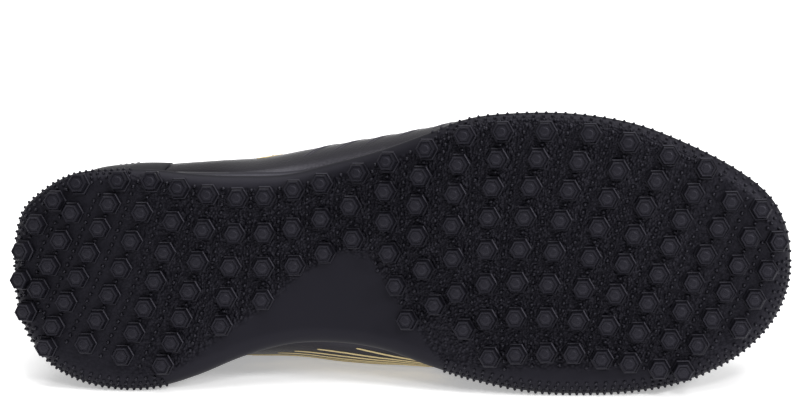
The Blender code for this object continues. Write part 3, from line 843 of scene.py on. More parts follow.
def texture_node(tree: Tree, kind: str, place: Socket, scale: Socket | float, **settings: float) -> Node:
    """Add a texture node.

    Args:
        tree: The node tree.
        kind: Blender's name of the node.
        place: Socket that gives the coordinates.
        scale: A socket or a number.
        settings: Other inputs by name, with spaces as underscores.

    Returns:
        The node.
    """
    node = tree.nodes.new(kind)
    tree.links.new(place, node.inputs["Vector"])
    if isinstance(scale, Socket):
        tree.links.new(scale, node.inputs["Scale"])
    else:
        node.inputs["Scale"].default_value = scale
    for name, value in settings.items():
        node.inputs[name.replace("_", " ")].default_value = value
    return node


def fill_grain(group: Tree, place: Socket, scale: Socket) -> tuple[Socket, Socket]:
    """Pebbled grain: a height, and a tone that drifts over the surface."""
    drift_scale = 35.0
    fine_scale = math_node(group, "MULTIPLY", scale, 0.5)
    cells = texture_node(group, "ShaderNodeTexVoronoi", place, scale)
    fine = texture_node(group, "ShaderNodeTexNoise", place, fine_scale, Detail=4.0)
    drift = texture_node(group, "ShaderNodeTexNoise", place, drift_scale, Detail=3.0)
    return math_node(group, "ADD", cells.outputs["Distance"], fine.outputs["Fac"]), drift.outputs["Fac"]


def fill_knit(group: Tree, place: Socket, scale: Socket) -> tuple[Socket, Socket]:
    """Knitted or woven cloth on the piece's UV map: a height and a tone."""
    fuzz_scale = 60.0
    threads = []
    for direction in ("X", "Y"):
        wave = texture_node(group, "ShaderNodeTexWave", place, scale, Distortion=0.6, Detail=1.0)
        wave.bands_direction = direction
        threads.append(wave.outputs["Fac"])
    woven = math_node(group, "MULTIPLY", *threads)
    fuzz = texture_node(group, "ShaderNodeTexNoise", place, fuzz_scale, Detail=3.0)
    return woven, math_node(group, "MULTIPLY", woven, fuzz.outputs["Fac"])


# How light the rough ground's raised specks are, a painted highlight on the grit's tops, and how light its
# smooth parts are, between the two tones of its finish.
SPECK_HIGHLIGHT = 2.2
SMOOTH_TONE = 0.42

COOL_TINT = (0.86, 0.83, 1.0)
WHITE = (1.0, 1.0, 1.0)


@dataclass(frozen=True)
class Finish:
    """One finish: its two tones, its gloss, its fine surface, and a vertex value that can dim its gloss."""

    name: str
    colour: Colour
    light: Colour
    roughness: float
    pattern: Pattern = Pattern.PLAIN
    scale: float = 1.0
    relief: float = 0.0
    gloss: float = 0.5
    coat: float = 0.0
    coat_roughness: float = 0.25
    metal: float = 0.0
    sheen: float = 0.0
    tint: Colour = COOL_TINT
    glow: float = 0.0
    shine_mask: str = ""

    def material(self) -> bpy.types.Material:
        """The finish's material, made once."""
        found = bpy.data.materials.get(self.name)
        if found:
            return found
        made = bpy.data.materials.new(self.name)
        made.use_nodes = True
        tree = made.node_tree
        shader = tree.nodes["Principled BSDF"]
        values = {
            "Base Color": (*self.colour, 1.0),
            "Roughness": self.roughness,
            "Metallic": self.metal,
            "Specular IOR Level": self.gloss,
            "Specular Tint": (*self.tint, 1.0),
            "Coat Weight": self.coat,
            "Coat Roughness": self.coat_roughness,
            "Sheen Weight": self.sheen,
            "Emission Color": (*self.light, 1.0),
            "Emission Strength": self.glow,
        }
        for name, value in values.items():
            shader.inputs[name].default_value = value
        if self.pattern is not Pattern.PLAIN:
            self.dress(tree, shader)
        if self.shine_mask:
            mask = tree.nodes.new("ShaderNodeAttribute")
            mask.attribute_name = self.shine_mask
            for name, full in (("Specular IOR Level", self.gloss), ("Coat Weight", self.coat)):
                tree.links.new(math_node(tree, "MULTIPLY", mask.outputs["Fac"], full), shader.inputs[name])
        return made

    def dress(self, tree: Tree, shader: Node) -> None:
        """Give the material its fine surface.

        Args:
            tree: The material's node tree.
            shader: Its Principled BSDF.
        """
        place = tree.nodes.new("ShaderNodeTexCoord")
        woven = self.pattern is Pattern.KNIT
        surface = tree.nodes.new("ShaderNodeGroup")
        surface.node_tree = surface_group(*(("knit", fill_knit) if woven else ("pebbled grain", fill_grain)))
        tree.links.new(place.outputs["UV" if woven else "Object"], surface.inputs["Place"])
        surface.inputs["Scale"].default_value = self.scale
        blend = tree.nodes.new("ShaderNodeMix")
        blend.data_type = "RGBA"
        blend.inputs["A"].default_value = (*self.colour, 1.0)
        blend.inputs["B"].default_value = (*self.light, 1.0)
        tone = surface.outputs["Tone"]
        height = surface.outputs["Height"]
        # On rough ground the grit's raised tops are painted lighter by their height, a painted highlight on the
        # bumps; the smooth parts get a fixed middle tone.
        if self.pattern is Pattern.GRIT:
            mask = tree.nodes.new("ShaderNodeAttribute")
            mask.attribute_name = "grit"
            rough = mask.outputs["Fac"]
            height = math_node(tree, "MULTIPLY", math_node(tree, "SUBTRACT", 1.0, height), rough)
            speck_highlight = math_node(tree, "MULTIPLY", height, SPECK_HIGHLIGHT)
            smooth = math_node(tree, "MULTIPLY", math_node(tree, "SUBTRACT", 1.0, rough), SMOOTH_TONE)
            tone = math_node(tree, "ADD", speck_highlight, smooth)
        tree.links.new(tone, blend.inputs["Factor"])
        tree.links.new(blend.outputs["Result"], shader.inputs["Base Color"])
        bump = tree.nodes.new("ShaderNodeBump")
        bump.inputs["Strength"].default_value = 1.0
        bump.inputs["Distance"].default_value = self.relief
        tree.links.new(height, bump.inputs["Height"])
        tree.links.new(bump.outputs["Normal"], shader.inputs["Normal"])


RUBBER = Finish(
    "stud rubber", (0.0054, 0.0052, 0.0078), (0.0090, 0.0087, 0.0120), 0.42,
    Pattern.GRAIN, 2200.0, 0.00004, 0.22
)
BEAD_RUBBER = Finish("bead rubber", (0.0080, 0.0078, 0.0108), (0.0110, 0.0108, 0.0140), 0.32, gloss=0.26)
GROUND = Finish(
    "moulded rubber", (0.0018, 0.0017, 0.0032), (0.0180, 0.0174, 0.0230), 0.44,
    Pattern.GRIT, 900.0, 0.00060, 0.13
)
FOAM = Finish(
    "moulded foam", (0.0085, 0.0083, 0.0120), (0.0140, 0.0135, 0.0185), 0.34,
    Pattern.GRAIN, 1600.0, 0.00003, 0.3
)
LEATHER = Finish(
    "synthetic leather", (0.0060, 0.0055, 0.0073), (0.0110, 0.0100, 0.0135), 0.30,
    Pattern.GRAIN, 1300.0, 0.00006, 0.34, 0.12, shine_mask="shine",
)
OVERLAY_LEATHER = Finish(
    "smooth overlay", (0.0045, 0.0043, 0.0062), (0.0080, 0.0077, 0.0105), 0.38,
    Pattern.GRAIN, 1700.0, 0.00003, 0.12,
)
WELD = Finish("welded line", (0.050, 0.047, 0.060), (0.06, 0.06, 0.07), 0.30)
LINING = Finish(
    "knit lining", (0.012, 0.012, 0.015), (0.032, 0.032, 0.038), 0.9,
    Pattern.KNIT, 500.0, 0.00025, 0.3, sheen=0.15
)
WEBBING = Finish(
    "woven lace", (0.012, 0.012, 0.015), (0.038, 0.037, 0.043), 0.82,
    Pattern.KNIT, 420.0, 0.0002, 0.3, sheen=0.2
)
THREAD = Finish("thread", (0.014, 0.0135, 0.017), (0.02, 0.02, 0.024), 0.7)
GOLD = Finish("gold print", (0.66, 0.53, 0.27), (0.66, 0.50, 0.24), 0.42, metal=0.1, tint=WHITE)
EYELET = Finish("eyelet ring", (0.02, 0.02, 0.023), (0.03, 0.03, 0.03), 0.3)


# Sole


# Lines up the rim's outer side: how far above the tread they lie, and 1 where they lie in its groove.
RIM_LINES = ((0.0056, 0.0), (0.0059, 1.0), (0.0063, 1.0), (0.0066, 0.0), (0.0073, 0.0))

# Lines of a stud from its root to its top: their size as a share of the collar's, then of the tip's,
# and their depth as a share of the stud's height.
COLLAR_LINES = ((1.00, 0.14), (0.985, 0.26), (0.885, 0.33), (0.865, 0.24), (0.83, 0.30))
TIP_LINES = ((1.03, 0.95), (0.98, 1.0), (0.84, 0.99), (0.80, 0.92), (0.72, 0.92), (0.67, 0.98))

# Lines up the foam's side: their share of its height, and 1 where they lie in its pressed line.
FOAM_LINES = ((0.0, 0.0), (0.2, 0.0), (0.55, 0.0), (0.62, 1.0), (0.69, 0.0), (0.86, 0.0), (1.0, 0.0))

# Strips that close a ring where nothing of it shows.
HIDDEN_STRIPS = 4


class EdgeLine(NamedTuple):
    """A line of beads on the rounded edge: its angle there, and its beads' size and spacing as shares."""

    angle: float
    size: float
    spacing: float


EDGE_LINES = (
    EdgeLine(0.30, 0.85, 1.5),
    EdgeLine(0.62, 0.80, 1.2),
    EdgeLine(0.95, 0.75, 1.0),
    EdgeLine(1.30, 0.75, 1.0),
)


@dataclass
class Outsole:
    """The studded rubber sole: plate, rounded edge, upturned rim, studs and small beads."""

    plate: float = 0.0030
    rim_height: float = 0.0090
    rim_wall: float = 0.0016
    edge_round: float = 0.0060
    edge_rise: float = 0.0048
    rim_lean: float = 0.0006
    stud_base: float = 0.0090
    stud_tip: float = 0.0068
    stud_root: float = 0.0016
    stud_lean: float = 0.6
    disc_edge: float = 0.0015
    disc_inset: float = 0.0003
    disc_bevel: float = 0.0004
    disc_height: float = 0.00016
    groove: float = 0.0003
    tray_corner: float = 0.4
    bead: float = 0.00085
    bead_height: float = 1.4
    bead_pitch: float = 0.0028
    bead_clear: float = 0.4
    bead_edge: float = 0.0032
    edge_pitch: float = 0.0022
    toe_pitch: float = 0.0033
    bare_medial: tuple[float, float] = (0.20, 0.56)
    bare_lateral: tuple[float, float] = (0.16, 0.55)
    heel_grit: float = 0.12
    toe_grit: float = 0.15
    heel_zone: tuple[float, float] = (0.12, 0.28)
    toe_zone: tuple[float, float] = (0.78, 0.97)
    waist_start: tuple[float, float] = (0.16, 0.24)
    waist_end: tuple[float, float] = (0.50, 0.60)
    rim_zone: tuple[float, float] = (0.0005, 0.0030)
    waist_rim: tuple[float, float] = (0.0030, 0.0040)
    arch_zone: tuple[float, float] = (-0.0060, 0.0005)
    columns: int = 640
    strips: int = 44
    edge_steps: int = 9
    lip_steps: int = 7
    edge_samples: int = 1600

    def rise(self, inset: float | Array) -> float | Array:
        """How far the rounded edge has risen at an inset from the outline."""
        part = np.clip(1.0 - np.asarray(inset) / self.edge_round, 0.0, 1.0)
        return self.edge_rise * (1.0 - np.sqrt(1.0 - part ** 2))

    def underside(self, at: float, side: float) -> float:
        """Height of the sole's underside at one spot, rounded edge included."""
        distance, _ = edge_distance(at, side)
        return float(LAST.tread(np.array([at]))[0] + self.rise(distance))

    def edge_line(self, angle: float) -> tuple[float, float]:
        """Inset and rise of a line on the rounded edge, at its angle from straight down."""
        return self.edge_round * (1.0 - math.sin(angle)), self.edge_rise * (1.0 - math.cos(angle))

    def profile(self) -> list[tuple[float, float]]:
        """Insets and rises of the lines that run round the sole, from the tread over the rim to the inside.

        Returns:
            One pair for each line.
        """
        lines = [self.edge_line(angle) for angle in np.linspace(0.0, 0.5 * math.pi, self.edge_steps)]
        for rise, cut in RIM_LINES:
            lean = self.rim_lean * (rise - self.edge_rise) / (self.rim_height - self.edge_rise)
            lines.append((lean + cut * self.groove, rise))
        radius = 0.5 * self.rim_wall
        for angle in np.linspace(0.0, math.pi, self.lip_steps):
            lines.append((
                self.rim_lean + radius - radius * math.cos(angle),
                self.rim_height - radius + radius * math.sin(angle),
            ))
        lines.append((self.rim_lean + self.rim_wall, self.plate + self.tray_corner * self.edge_rise))
        lines.append((self.edge_round, self.plate))
        return lines

    def add_plate(self, form: Form) -> None:
        """The plate with its rounded edge and rim."""
        rings = [
            Ring(
                lambda places, inset=inset: np.full(len(places), inset),
                lambda at, rise=rise: LAST.tread(at) + rise,
            )
            for inset, rise in self.profile()
        ]
        add_rings(form, rings, self.columns)
        add_cap(form, rings[0], self.columns, self.strips)
        add_cap(form, rings[-1], self.columns, HIDDEN_STRIPS)
        weld(form)

    def stud_form(self) -> bpy.types.Mesh:
        """One hexagonal stud that points down, with a bevelled collar, and a round disc in its top's groove.

        Returns:
            A mesh with its root at the origin.
        """
        form = bmesh.new()
        height = LAST.stud_height
        collar = 0.5 * self.stud_base
        tip = self.stud_tip / self.stud_base
        turn = Matrix.Rotation(math.pi / 2, 4, "Z")
        bmesh.ops.create_circle(
            form, cap_ends=True, segments=6, radius=collar,
            matrix=Matrix.Translation((0.0, 0.0, self.stud_root)) @ turn,
        )
        face = form.faces[:][0]
        face.normal_flip()
        radius = 1.0
        level = self.stud_root
        for share, depth in (*COLLAR_LINES, *((share * tip, depth) for share, depth in TIP_LINES)):
            face = bmesh.ops.extrude_discrete_faces(form, faces=[face])["faces"][0]
            factor = share / radius
            bmesh.ops.scale(form, vec=(factor, factor, 1.0), verts=face.verts[:])
            bmesh.ops.translate(form, vec=(0.0, 0.0, -depth * height - level), verts=face.verts[:])
            radius = share
            level = -depth * height
        bmesh.ops.inset_individual(form, faces=[face], thickness=self.disc_inset)
        bmesh.ops.subdivide_edges(form, edges=face.edges[:], cuts=1)
        for vert in face.verts:
            vert.co.xy = vert.co.xy.normalized() * self.disc_edge
        bmesh.ops.inset_individual(form, faces=[face], thickness=self.disc_bevel, depth=self.disc_height)
        bmesh.ops.remove_doubles(form, verts=form.verts[:], dist=MERGE)
        bmesh.ops.recalc_face_normals(form, faces=form.faces[:])
        mesh = bpy.data.meshes.new("stud")
        form.to_mesh(mesh)
        form.free()
        return mesh

    def add_studs(self, form: Form) -> None:
        """The hexagonal studs, each leaning a little with the underside at its spot."""
        template = self.stud_form()
        reach = 0.5 * self.stud_base
        for at, side in stud_spots():
            slope_x = (self.underside(at + reach, side) - self.underside(at - reach, side)) / self.stud_base
            slope_y = (self.underside(at, side + reach) - self.underside(at, side - reach)) / self.stud_base
            down = Vector((slope_x * self.stud_lean, slope_y * self.stud_lean, -1.0)).normalized()
            turn = Vector((0.0, 0.0, -1.0)).rotation_difference(down).to_matrix().to_4x4()
            place = Matrix.Translation((at, side, self.underside(at, side)))
            known = len(form.verts)
            form.from_mesh(template)
            form.verts.ensure_lookup_table()
            bmesh.ops.transform(form, matrix=place @ turn, verts=form.verts[known:])
        bpy.data.meshes.remove(template)

    def bead_place(self, spot: Vector, out: Vector, size: float = 1.0) -> Matrix:
        """Where one small round bead goes.

        Args:
            spot: Its root on the sole.
            out: The direction that it points to.
            size: Its size as a share of the usual one.

        Returns:
            The place, turn and size of a ball of radius 1.
        """
        turn = Vector((0.0, 0.0, 1.0)).rotation_difference(out).to_matrix().to_4x4()
        radius = self.bead * size
        ball = Matrix.Diagonal((radius, radius, self.bead_height * radius, 1.0))
        return Matrix.Translation(spot) @ turn @ ball

    def arch_depth(self, at: float, side: float) -> float:
        """How far a spot lies inside the bare arch panel on the medial side, negative outside it."""
        border = np.interp(at / LAST.length, *np.array(ARCH_BORDER).T) * LAST.ball_width
        return side - float(border)

    def bead_spots(self) -> list[tuple[float, float]]:
        """Where the small beads stand, in lines between the rows of studs and singly between the studs.

        Returns:
            Distances from the heel and sides.
        """
        studs = np.array(stud_spots())
        spots: list[tuple[float, float]] = []
        clear = 0.5 * self.stud_base + self.bead_clear * self.bead
        past_ends = np.linspace(-0.05, 1.05, 60)
        line = np.linspace(0.0, 1.0, len(past_ends))
        for row, beyond in zip(STUDS[:-1], STUDS[1:]):
            fine = np.array([0.5 * (row_spot(row, share) + row_spot(beyond, share)) for share in past_ends])
            for share in even_steps(fine, self.bead_pitch):
                spots.append(tuple(float(np.interp(share, line, fine[:, axis])) for axis in range(2)))
        for row in STUDS:
            for index in range(row.count - 1):
                spots.append(tuple(row_spot(row, (index + 0.5) / (row.count - 1))))
        return [
            (at, side) for at, side in spots
            if np.min(np.hypot(studs[:, 0] - at, studs[:, 1] - side)) > clear
            and self.arch_depth(at, side) < 0.0 and edge_distance(at, side)[0] > self.bead_edge
        ]

    def add_beads(self, form: Form) -> None:
        """The small beads between the studs and round the edge."""
        down = Vector((0.0, 0.0, -1.0))
        beads = []
        for at, side in self.bead_spots():
            beads.append(self.bead_place(Vector((at, side, self.underside(at, side))), down))
        places = np.linspace(0.0, LAST.places, self.edge_samples, endpoint=False)
        for angle, size, spacing in EDGE_LINES:
            inset, rise = self.edge_line(angle)
            flat, outward = LAST.outline(places, inset)
            steps = np.linalg.norm(np.diff(flat, axis=0), axis=1)
            travelled = 0.0
            for place, (at, side), out, step in zip(places[1:], flat[1:], outward[1:], steps):
                travelled += float(step)
                if travelled < self.pitch_at(float(place)) * spacing:
                    continue
                travelled = 0.0
                spot = Vector((at, side, float(LAST.tread(np.array([at]))[0] + rise)))
                away = Vector((*out * math.sin(angle), -math.cos(angle)))
                beads.append(self.bead_place(spot, away, size))
        add_many(form, beads, lambda batch, place: bmesh.ops.create_uvsphere(
            batch, u_segments=7, v_segments=5, radius=1.0, matrix=place,
        ))

    def pitch_at(self, place: float) -> float:
        """Distance from bead to bead along the edge at a place, endless where the edge is smooth."""
        at = float(LAST.spline(np.array([place]))[0, 0]) / LAST.length
        start, end = self.bare_medial if place <= LAST.toe else self.bare_lateral
        if start < at < end:
            return math.inf
        lateral_toe = place > LAST.toe and at > end
        return self.toe_pitch if lateral_toe else self.edge_pitch

    def grit(self, at: float, side: float) -> float:
        """How rough the ground between the studs is at a spot, 0 where it is smooth.

        Args:
            at: Distance from the heel.
            side: Distance to the medial side.

        Returns:
            A share between 0 and 1.
        """
        share = at / LAST.length
        heel = self.heel_grit + (1.0 - self.heel_grit) * soft_step(share, *self.heel_zone)
        toe = 1.0 - (1.0 - self.toe_grit) * soft_step(share, *self.toe_zone)
        waist = soft_step(share, *self.waist_start) * (1.0 - soft_step(share, *self.waist_end))
        zone = (usual + more * waist for usual, more in zip(self.rim_zone, self.waist_rim))
        rim = soft_step(edge_distance(at, side)[0], *zone)
        arch = 1.0 - soft_step(self.arch_depth(at, side), *self.arch_zone)
        return heel * toe * rim * arch

    def build(self) -> Piece:
        """The whole outsole, in place of its solid."""
        form = bmesh.new()
        grit = form.verts.layers.float.new("grit")
        self.add_plate(form)
        for vert in form.verts:
            at, side, level = vert.co
            below = level < float(LAST.tread(np.array([at]))[0]) + self.edge_rise
            vert[grit] = self.grit(at, side) if below else 0.0
        plate = finish_piece("outsole_plate", form, (GROUND,), sharp=50.0)
        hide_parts("outsole")
        form = bmesh.new()
        self.add_studs(form)
        finish_piece("studs", form, (RUBBER,), sharp=16.0)
        form = bmesh.new()
        self.add_beads(form)
        finish_piece("beads", form, (BEAD_RUBBER,), sharp=80.0)
        return plate


@dataclass
class Midsole:
    """The foam wedge in the outsole's tray, with a pressed line along its side."""

    lip: float = 0.0010
    seam_depth: float = 0.0005
    edge_drop: float = 0.0012
    edge_bevel: float = 0.0003
    top_reach: float = 0.0044
    columns: int = 480

    def build(self, outsole: Outsole) -> Piece:
        """The midsole, in place of its solid.

        Args:
            outsole: The tray that it sits in.

        Returns:
            The piece.
        """
        gap = LAST.gap
        inner = outsole.rim_wall + outsole.rim_lean + gap

        def wall(places: Array, share: float) -> Array:
            low = np.full(len(places), inner)
            top = LAST.insets(places) - self.lip
            middle = 0.5 * np.minimum(low, top) + 0.5 * top
            return low + (middle - low) * share

        def height(at: Array, share: float) -> Array:
            low = LAST.tread(at) + outsole.rim_height + gap
            return low + (LAST.feather(at) - self.edge_drop - low) * share

        rings = [
            Ring(
                lambda places: np.full(len(places), outsole.edge_round + gap),
                lambda at: LAST.tread(at) + outsole.plate + gap,
            ),
            Ring(
                lambda places: np.full(len(places), inner),
                lambda at: LAST.tread(at) + outsole.plate + outsole.tray_corner * outsole.edge_rise + gap,
            ),
        ]
        for share, cut in FOAM_LINES:
            rings.append(Ring(
                lambda places, share=share, cut=cut: wall(places, share) + cut * self.seam_depth,
                lambda at, share=share: height(at, share),
            ))
        for inwards, drop in (
            (-0.6 * self.lip, self.edge_bevel), (-0.2 * self.lip, 0.0), (self.top_reach, 0.0),
        ):
            rings.append(Ring(
                lambda places, inwards=inwards: LAST.insets(places) + inwards,
                lambda at, drop=drop: LAST.feather(at) - drop,
            ))
        form = bmesh.new()
        add_rings(form, rings, self.columns)
        add_cap(form, rings[0], self.columns, HIDDEN_STRIPS)
        add_cap(form, rings[-1], self.columns, HIDDEN_STRIPS)
        weld(form)
        piece = finish_piece("foam_midsole", form, (FOAM,), sharp=40.0)
        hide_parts("midsole")
        return piece


@dataclass
class Insole:
    """The footbed, cupped a little at its edge."""

    thickness: float = 0.0040
    cup: float = 0.0015
    wall: float = 0.0022
    columns: int = 320
    strips: int = 16

    def build(self) -> Piece:
        """The insole, in place of its solid."""
        gap = LAST.gap

        def ring(inwards: float, up: float) -> Ring:
            return Ring(
                lambda places: LAST.insets(places) + self.wall + 4.0 * gap + inwards,
                lambda at: LAST.feather(at) + gap + up,
            )

        full = self.thickness + self.cup
        rings = [
            ring(0.0, 0.0), ring(0.0, 0.8 * full), ring(0.0004, 0.95 * full), ring(0.0010, full),
            ring(2.0 * self.cup, self.thickness), ring(4.0 * self.cup, self.thickness),
        ]
        form = bmesh.new()
        add_rings(form, rings, self.columns)
        add_cap(form, rings[0], self.columns, HIDDEN_STRIPS)
        add_cap(form, rings[-1], self.columns, self.strips)
        weld(form)
        piece = finish_piece("footbed", form, (LINING,), sharp=50.0)
        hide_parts("insole")
        return piece


# Upper


class Crease(NamedTuple):
    """A soft trough across the vamp: where it lies, how it leans, its depth, width and reach."""

    at: float
    lean: float
    depth: float
    width: float
    low: float
    flank: Flank


CREASES = (
    Crease(0.625, 0.030, 0.0009, 0.010, 0.35, Flank.MEDIAL),
    Crease(0.665, 0.020, 0.0011, 0.009, 0.45, Flank.MEDIAL),
    Crease(0.705, 0.012, 0.0007, 0.008, 0.55, Flank.MEDIAL),
    Crease(0.625, 0.036, 0.0009, 0.010, 0.38, Flank.LATERAL),
    Crease(0.665, 0.028, 0.0011, 0.009, 0.42, Flank.LATERAL),
    Crease(0.705, 0.018, 0.0007, 0.008, 0.52, Flank.LATERAL),
)


# Lines on the wall, as shares of the length and of the ribs' rise.
MEDIAL_STRIPES: tuple[Line, ...] = (
    ((0.440, 0.045), (0.500, 0.065), (0.560, 0.060)),
    ((0.385, 0.080), (0.470, 0.095), (0.562, 0.080)),
    ((0.350, 0.115), (0.450, 0.125), (0.560, 0.100)),
    ((0.325, 0.150), (0.430, 0.160), (0.560, 0.122)),
    ((0.275, 0.190), (0.390, 0.200), (0.550, 0.145)),
    ((0.285, 0.240), (0.390, 0.245), (0.540, 0.175)),
    ((0.310, 0.300), (0.420, 0.300), (0.545, 0.215)),
)

LATERAL_STRIPES: tuple[Line, ...] = (
    ((0.296, 0.300), (0.306, 0.350), (0.314, 0.400)),
    ((0.306, 0.290), (0.316, 0.340), (0.324, 0.390)),
)

SEAMS: tuple[Line, ...] = (
    ((0.335, 0.97), (0.335, 0.68), (0.31, 0.40)),
    ((0.64, 0.90), (0.70, 0.62), (0.735, 0.3), (0.745, 0.06)),
)


@dataclass
class Upper:
    """The hollow leather wall with its padded collar, lining, print and seams."""

    wall: float = 0.0022
    collar_pad: float = 0.0070
    lip: float = 0.0013
    seam_reach: float = 0.0025
    heel_shine: float = 0.25
    shine_zone: tuple[float, float] = (0.24, 0.36)
    crease_rise: float = 0.3
    crease_fade: float = 0.3
    ridge_at: float = 1.6
    root_depth: float = 0.0006
    root_width: float = 0.03
    roll_start: float = 0.955
    open_half: float = 0.004
    pad_low: float = 0.60
    pad_height: float = 0.42
    pad_fade: float = 0.12
    thinnest: float = 0.0004
    lip_cut: float = 0.00208
    weld_pairs: int = 6
    weld_start: float = 0.372
    weld_pitch: float = 0.043
    weld_twin: float = 0.008
    weld_top: float = 0.66
    weld_low: tuple[float, float] = (0.42, 0.14)
    weld_lean: tuple[float, float] = (0.045, 0.070)
    weld_size: tuple[float, float] = (0.0006, 0.0003)
    medial_stripe: tuple[float, float] = (0.0009, 0.0003)
    lateral_stripe: tuple[float, float] = (0.0016, 0.0004)
    thread_lift: float = 0.0002
    columns: int = 400
    rows: int = 52

    def relief(self, places: Array, shares: Array) -> Array:
        """Creases, seams and rolled edges, as heights off the plain face.

        Args:
            places: Places in the closed table.
            shares: Shares of each rib's rise.

        Returns:
            Heights, negative where the face is sunk.
        """
        points = LAST.ribs(places, shares)
        at = points[:, 0] / LAST.length
        medial = np.mod(places, LAST.places) <= LAST.toe
        height = np.zeros(len(at))
        for crease in CREASES:
            side = medial if crease.flank is Flank.MEDIAL else ~medial
            away = (at - crease.at - crease.lean * (shares - 1.0)) * LAST.length / crease.width
            reach = np.clip((shares - crease.low) / self.crease_fade, 0.0, 1.0) ** 2
            ridge = np.exp(-((np.abs(away) - self.ridge_at) ** 2) * 2.0)
            form = self.crease_rise * ridge - np.exp(-away ** 2)
            height += np.where(side, crease.depth * form * reach, 0.0)
        height -= self.root_depth * np.exp(-(shares / self.root_width) ** 2)
        return height - self.lip * self.rolled(places, shares)

    def rolled(self, places: Array, shares: Array) -> Array:
        """How far the top edge has rolled in: 0 on the wall and 1 at the open edge."""
        half = np.abs(LAST.spline(places)[:, 5])
        is_open = np.clip(half / self.open_half, 0.0, 1.0)
        part = np.clip((shares - self.roll_start) / (1.0 - self.roll_start), 0.0, 1.0)
        return is_open * (1.0 - np.sqrt(1.0 - part ** 2))

    def thickness(self, places: Array, shares: Array) -> Array:
        """The wall's thickness, full at the padded collar and thin at the rolled edge."""
        points = LAST.ribs(places, shares)
        throat_top = THROAT_TOP.at * LAST.length
        rear = np.clip((throat_top - points[:, 0]) / (self.pad_fade * LAST.length), 0.0, 1.0)
        level = np.clip((points[:, 2] / LAST.heel_height - self.pad_low) / self.pad_height, 0.0, 1.0)
        swell = np.maximum(np.sin(math.pi * level ** 0.8), 0.0)
        plain = self.wall + (self.collar_pad - self.wall) * rear * swell
        return np.maximum(plain - self.lip_cut * self.rolled(places, shares), self.thinnest)

    def build(self) -> Piece:
        """The wall, in place of its solid."""
        form = bmesh.new()
        group = form.verts.layers.deform.verify()
        shine = form.verts.layers.float.new("shine")
        spots: list[tuple[float, float]] = []

        def shape(u: Array, v: Array) -> Array:
            places = (1.0 - u) * LAST.places
            spots.extend(zip(places, v))
            points = LAST.face(places, v, self.relief(places, v))
            twins = LAST.places - places
            across = LAST.face(twins, v, self.relief(twins, v))
            closed = (v > 1.0 - 1e-6) & (np.linalg.norm(points - across, axis=1) < self.seam_reach)
            points[closed] = 0.5 * (points[closed] + across[closed])
            return points

        around = 2.1 * LAST.length
        verts = add_grid(form, self.columns, self.rows, shape, (around, LAST.heel_height))
        pairs = np.array(spots)
        for vert, thick in zip(verts, self.thickness(pairs[:, 0], pairs[:, 1])):
            vert[group][0] = float(thick) / self.collar_pad
            forward = soft_step(vert.co.x / LAST.length, *self.shine_zone)
            vert[shine] = self.heel_shine + (1.0 - self.heel_shine) * forward
        weld(form, outwards=False)
        piece = finish_piece("leather_upper", form, (LEATHER, LINING), sharp=60.0)
        piece.vertex_groups.new(name="thickness")
        solid = piece.modifiers.new("wall", "SOLIDIFY")
        solid.thickness = self.collar_pad
        solid.offset = -1.0
        solid.vertex_group = "thickness"
        solid.material_offset = 1
        solid.material_offset_rim = 0
        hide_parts("upper")
        return piece

    def spots(self, flank: Flank, pairs: Sequence[tuple[float, float]]) -> Array:
        """Places and shares from distances along the length and shares up the wall.

        Args:
            flank: Side of the shoe.
            pairs: Distances as shares of the length, and shares of the rib's rise.

        Returns:
            One row for each pair.
        """
        table = np.array(pairs)
        return np.column_stack((LAST.place(table[:, 0], flank), table[:, 1]))

    def add_line(self, form: Form, flank: Flank, line: Line, width: float, height: float) -> None:
        """A thin raised line on one side of the wall.

        Args:
            form: The mesh that gets it.
            flank: Side of the shoe.
            line: Distances along the length and shares up the wall.
            width: Its width.
            height: Its thickness.
        """
        sunk = 0.2
        add_trim(form, self.spots(flank, line), width, height, sunk * height)

    def dress(self) -> None:
        """Printed stripes, welded lines across the vamp and stitching."""
        form = bmesh.new()
        for line in MEDIAL_STRIPES:
            self.add_line(form, Flank.MEDIAL, line, *self.medial_stripe)
        for line in LATERAL_STRIPES:
            self.add_line(form, Flank.LATERAL, line, *self.lateral_stripe)
        weld(form)
        finish_piece("gold_stripes", form, (GOLD,))
        form = bmesh.new()
        for flank, low in zip(Flank, self.weld_low):
            for index in range(self.weld_pairs):
                for aside in (0.0, self.weld_twin):
                    at = self.weld_start + self.weld_pitch * index + aside
                    middle, top = (at + lean for lean in self.weld_lean)
                    line = ((at, low), (middle, 0.5 * (low + self.weld_top)), (top, self.weld_top))
                    self.add_line(form, flank, line, *self.weld_size)
        weld(form)
        finish_piece("welded_lines", form, (WELD,))
        seams = bmesh.new()
        for flank in Flank:
            for seam in SEAMS:
                add_stitches(seams, self.spots(flank, seam), self.thread_lift)
        finish_piece("upper_stitching", seams, (THREAD,), sharp=80.0)


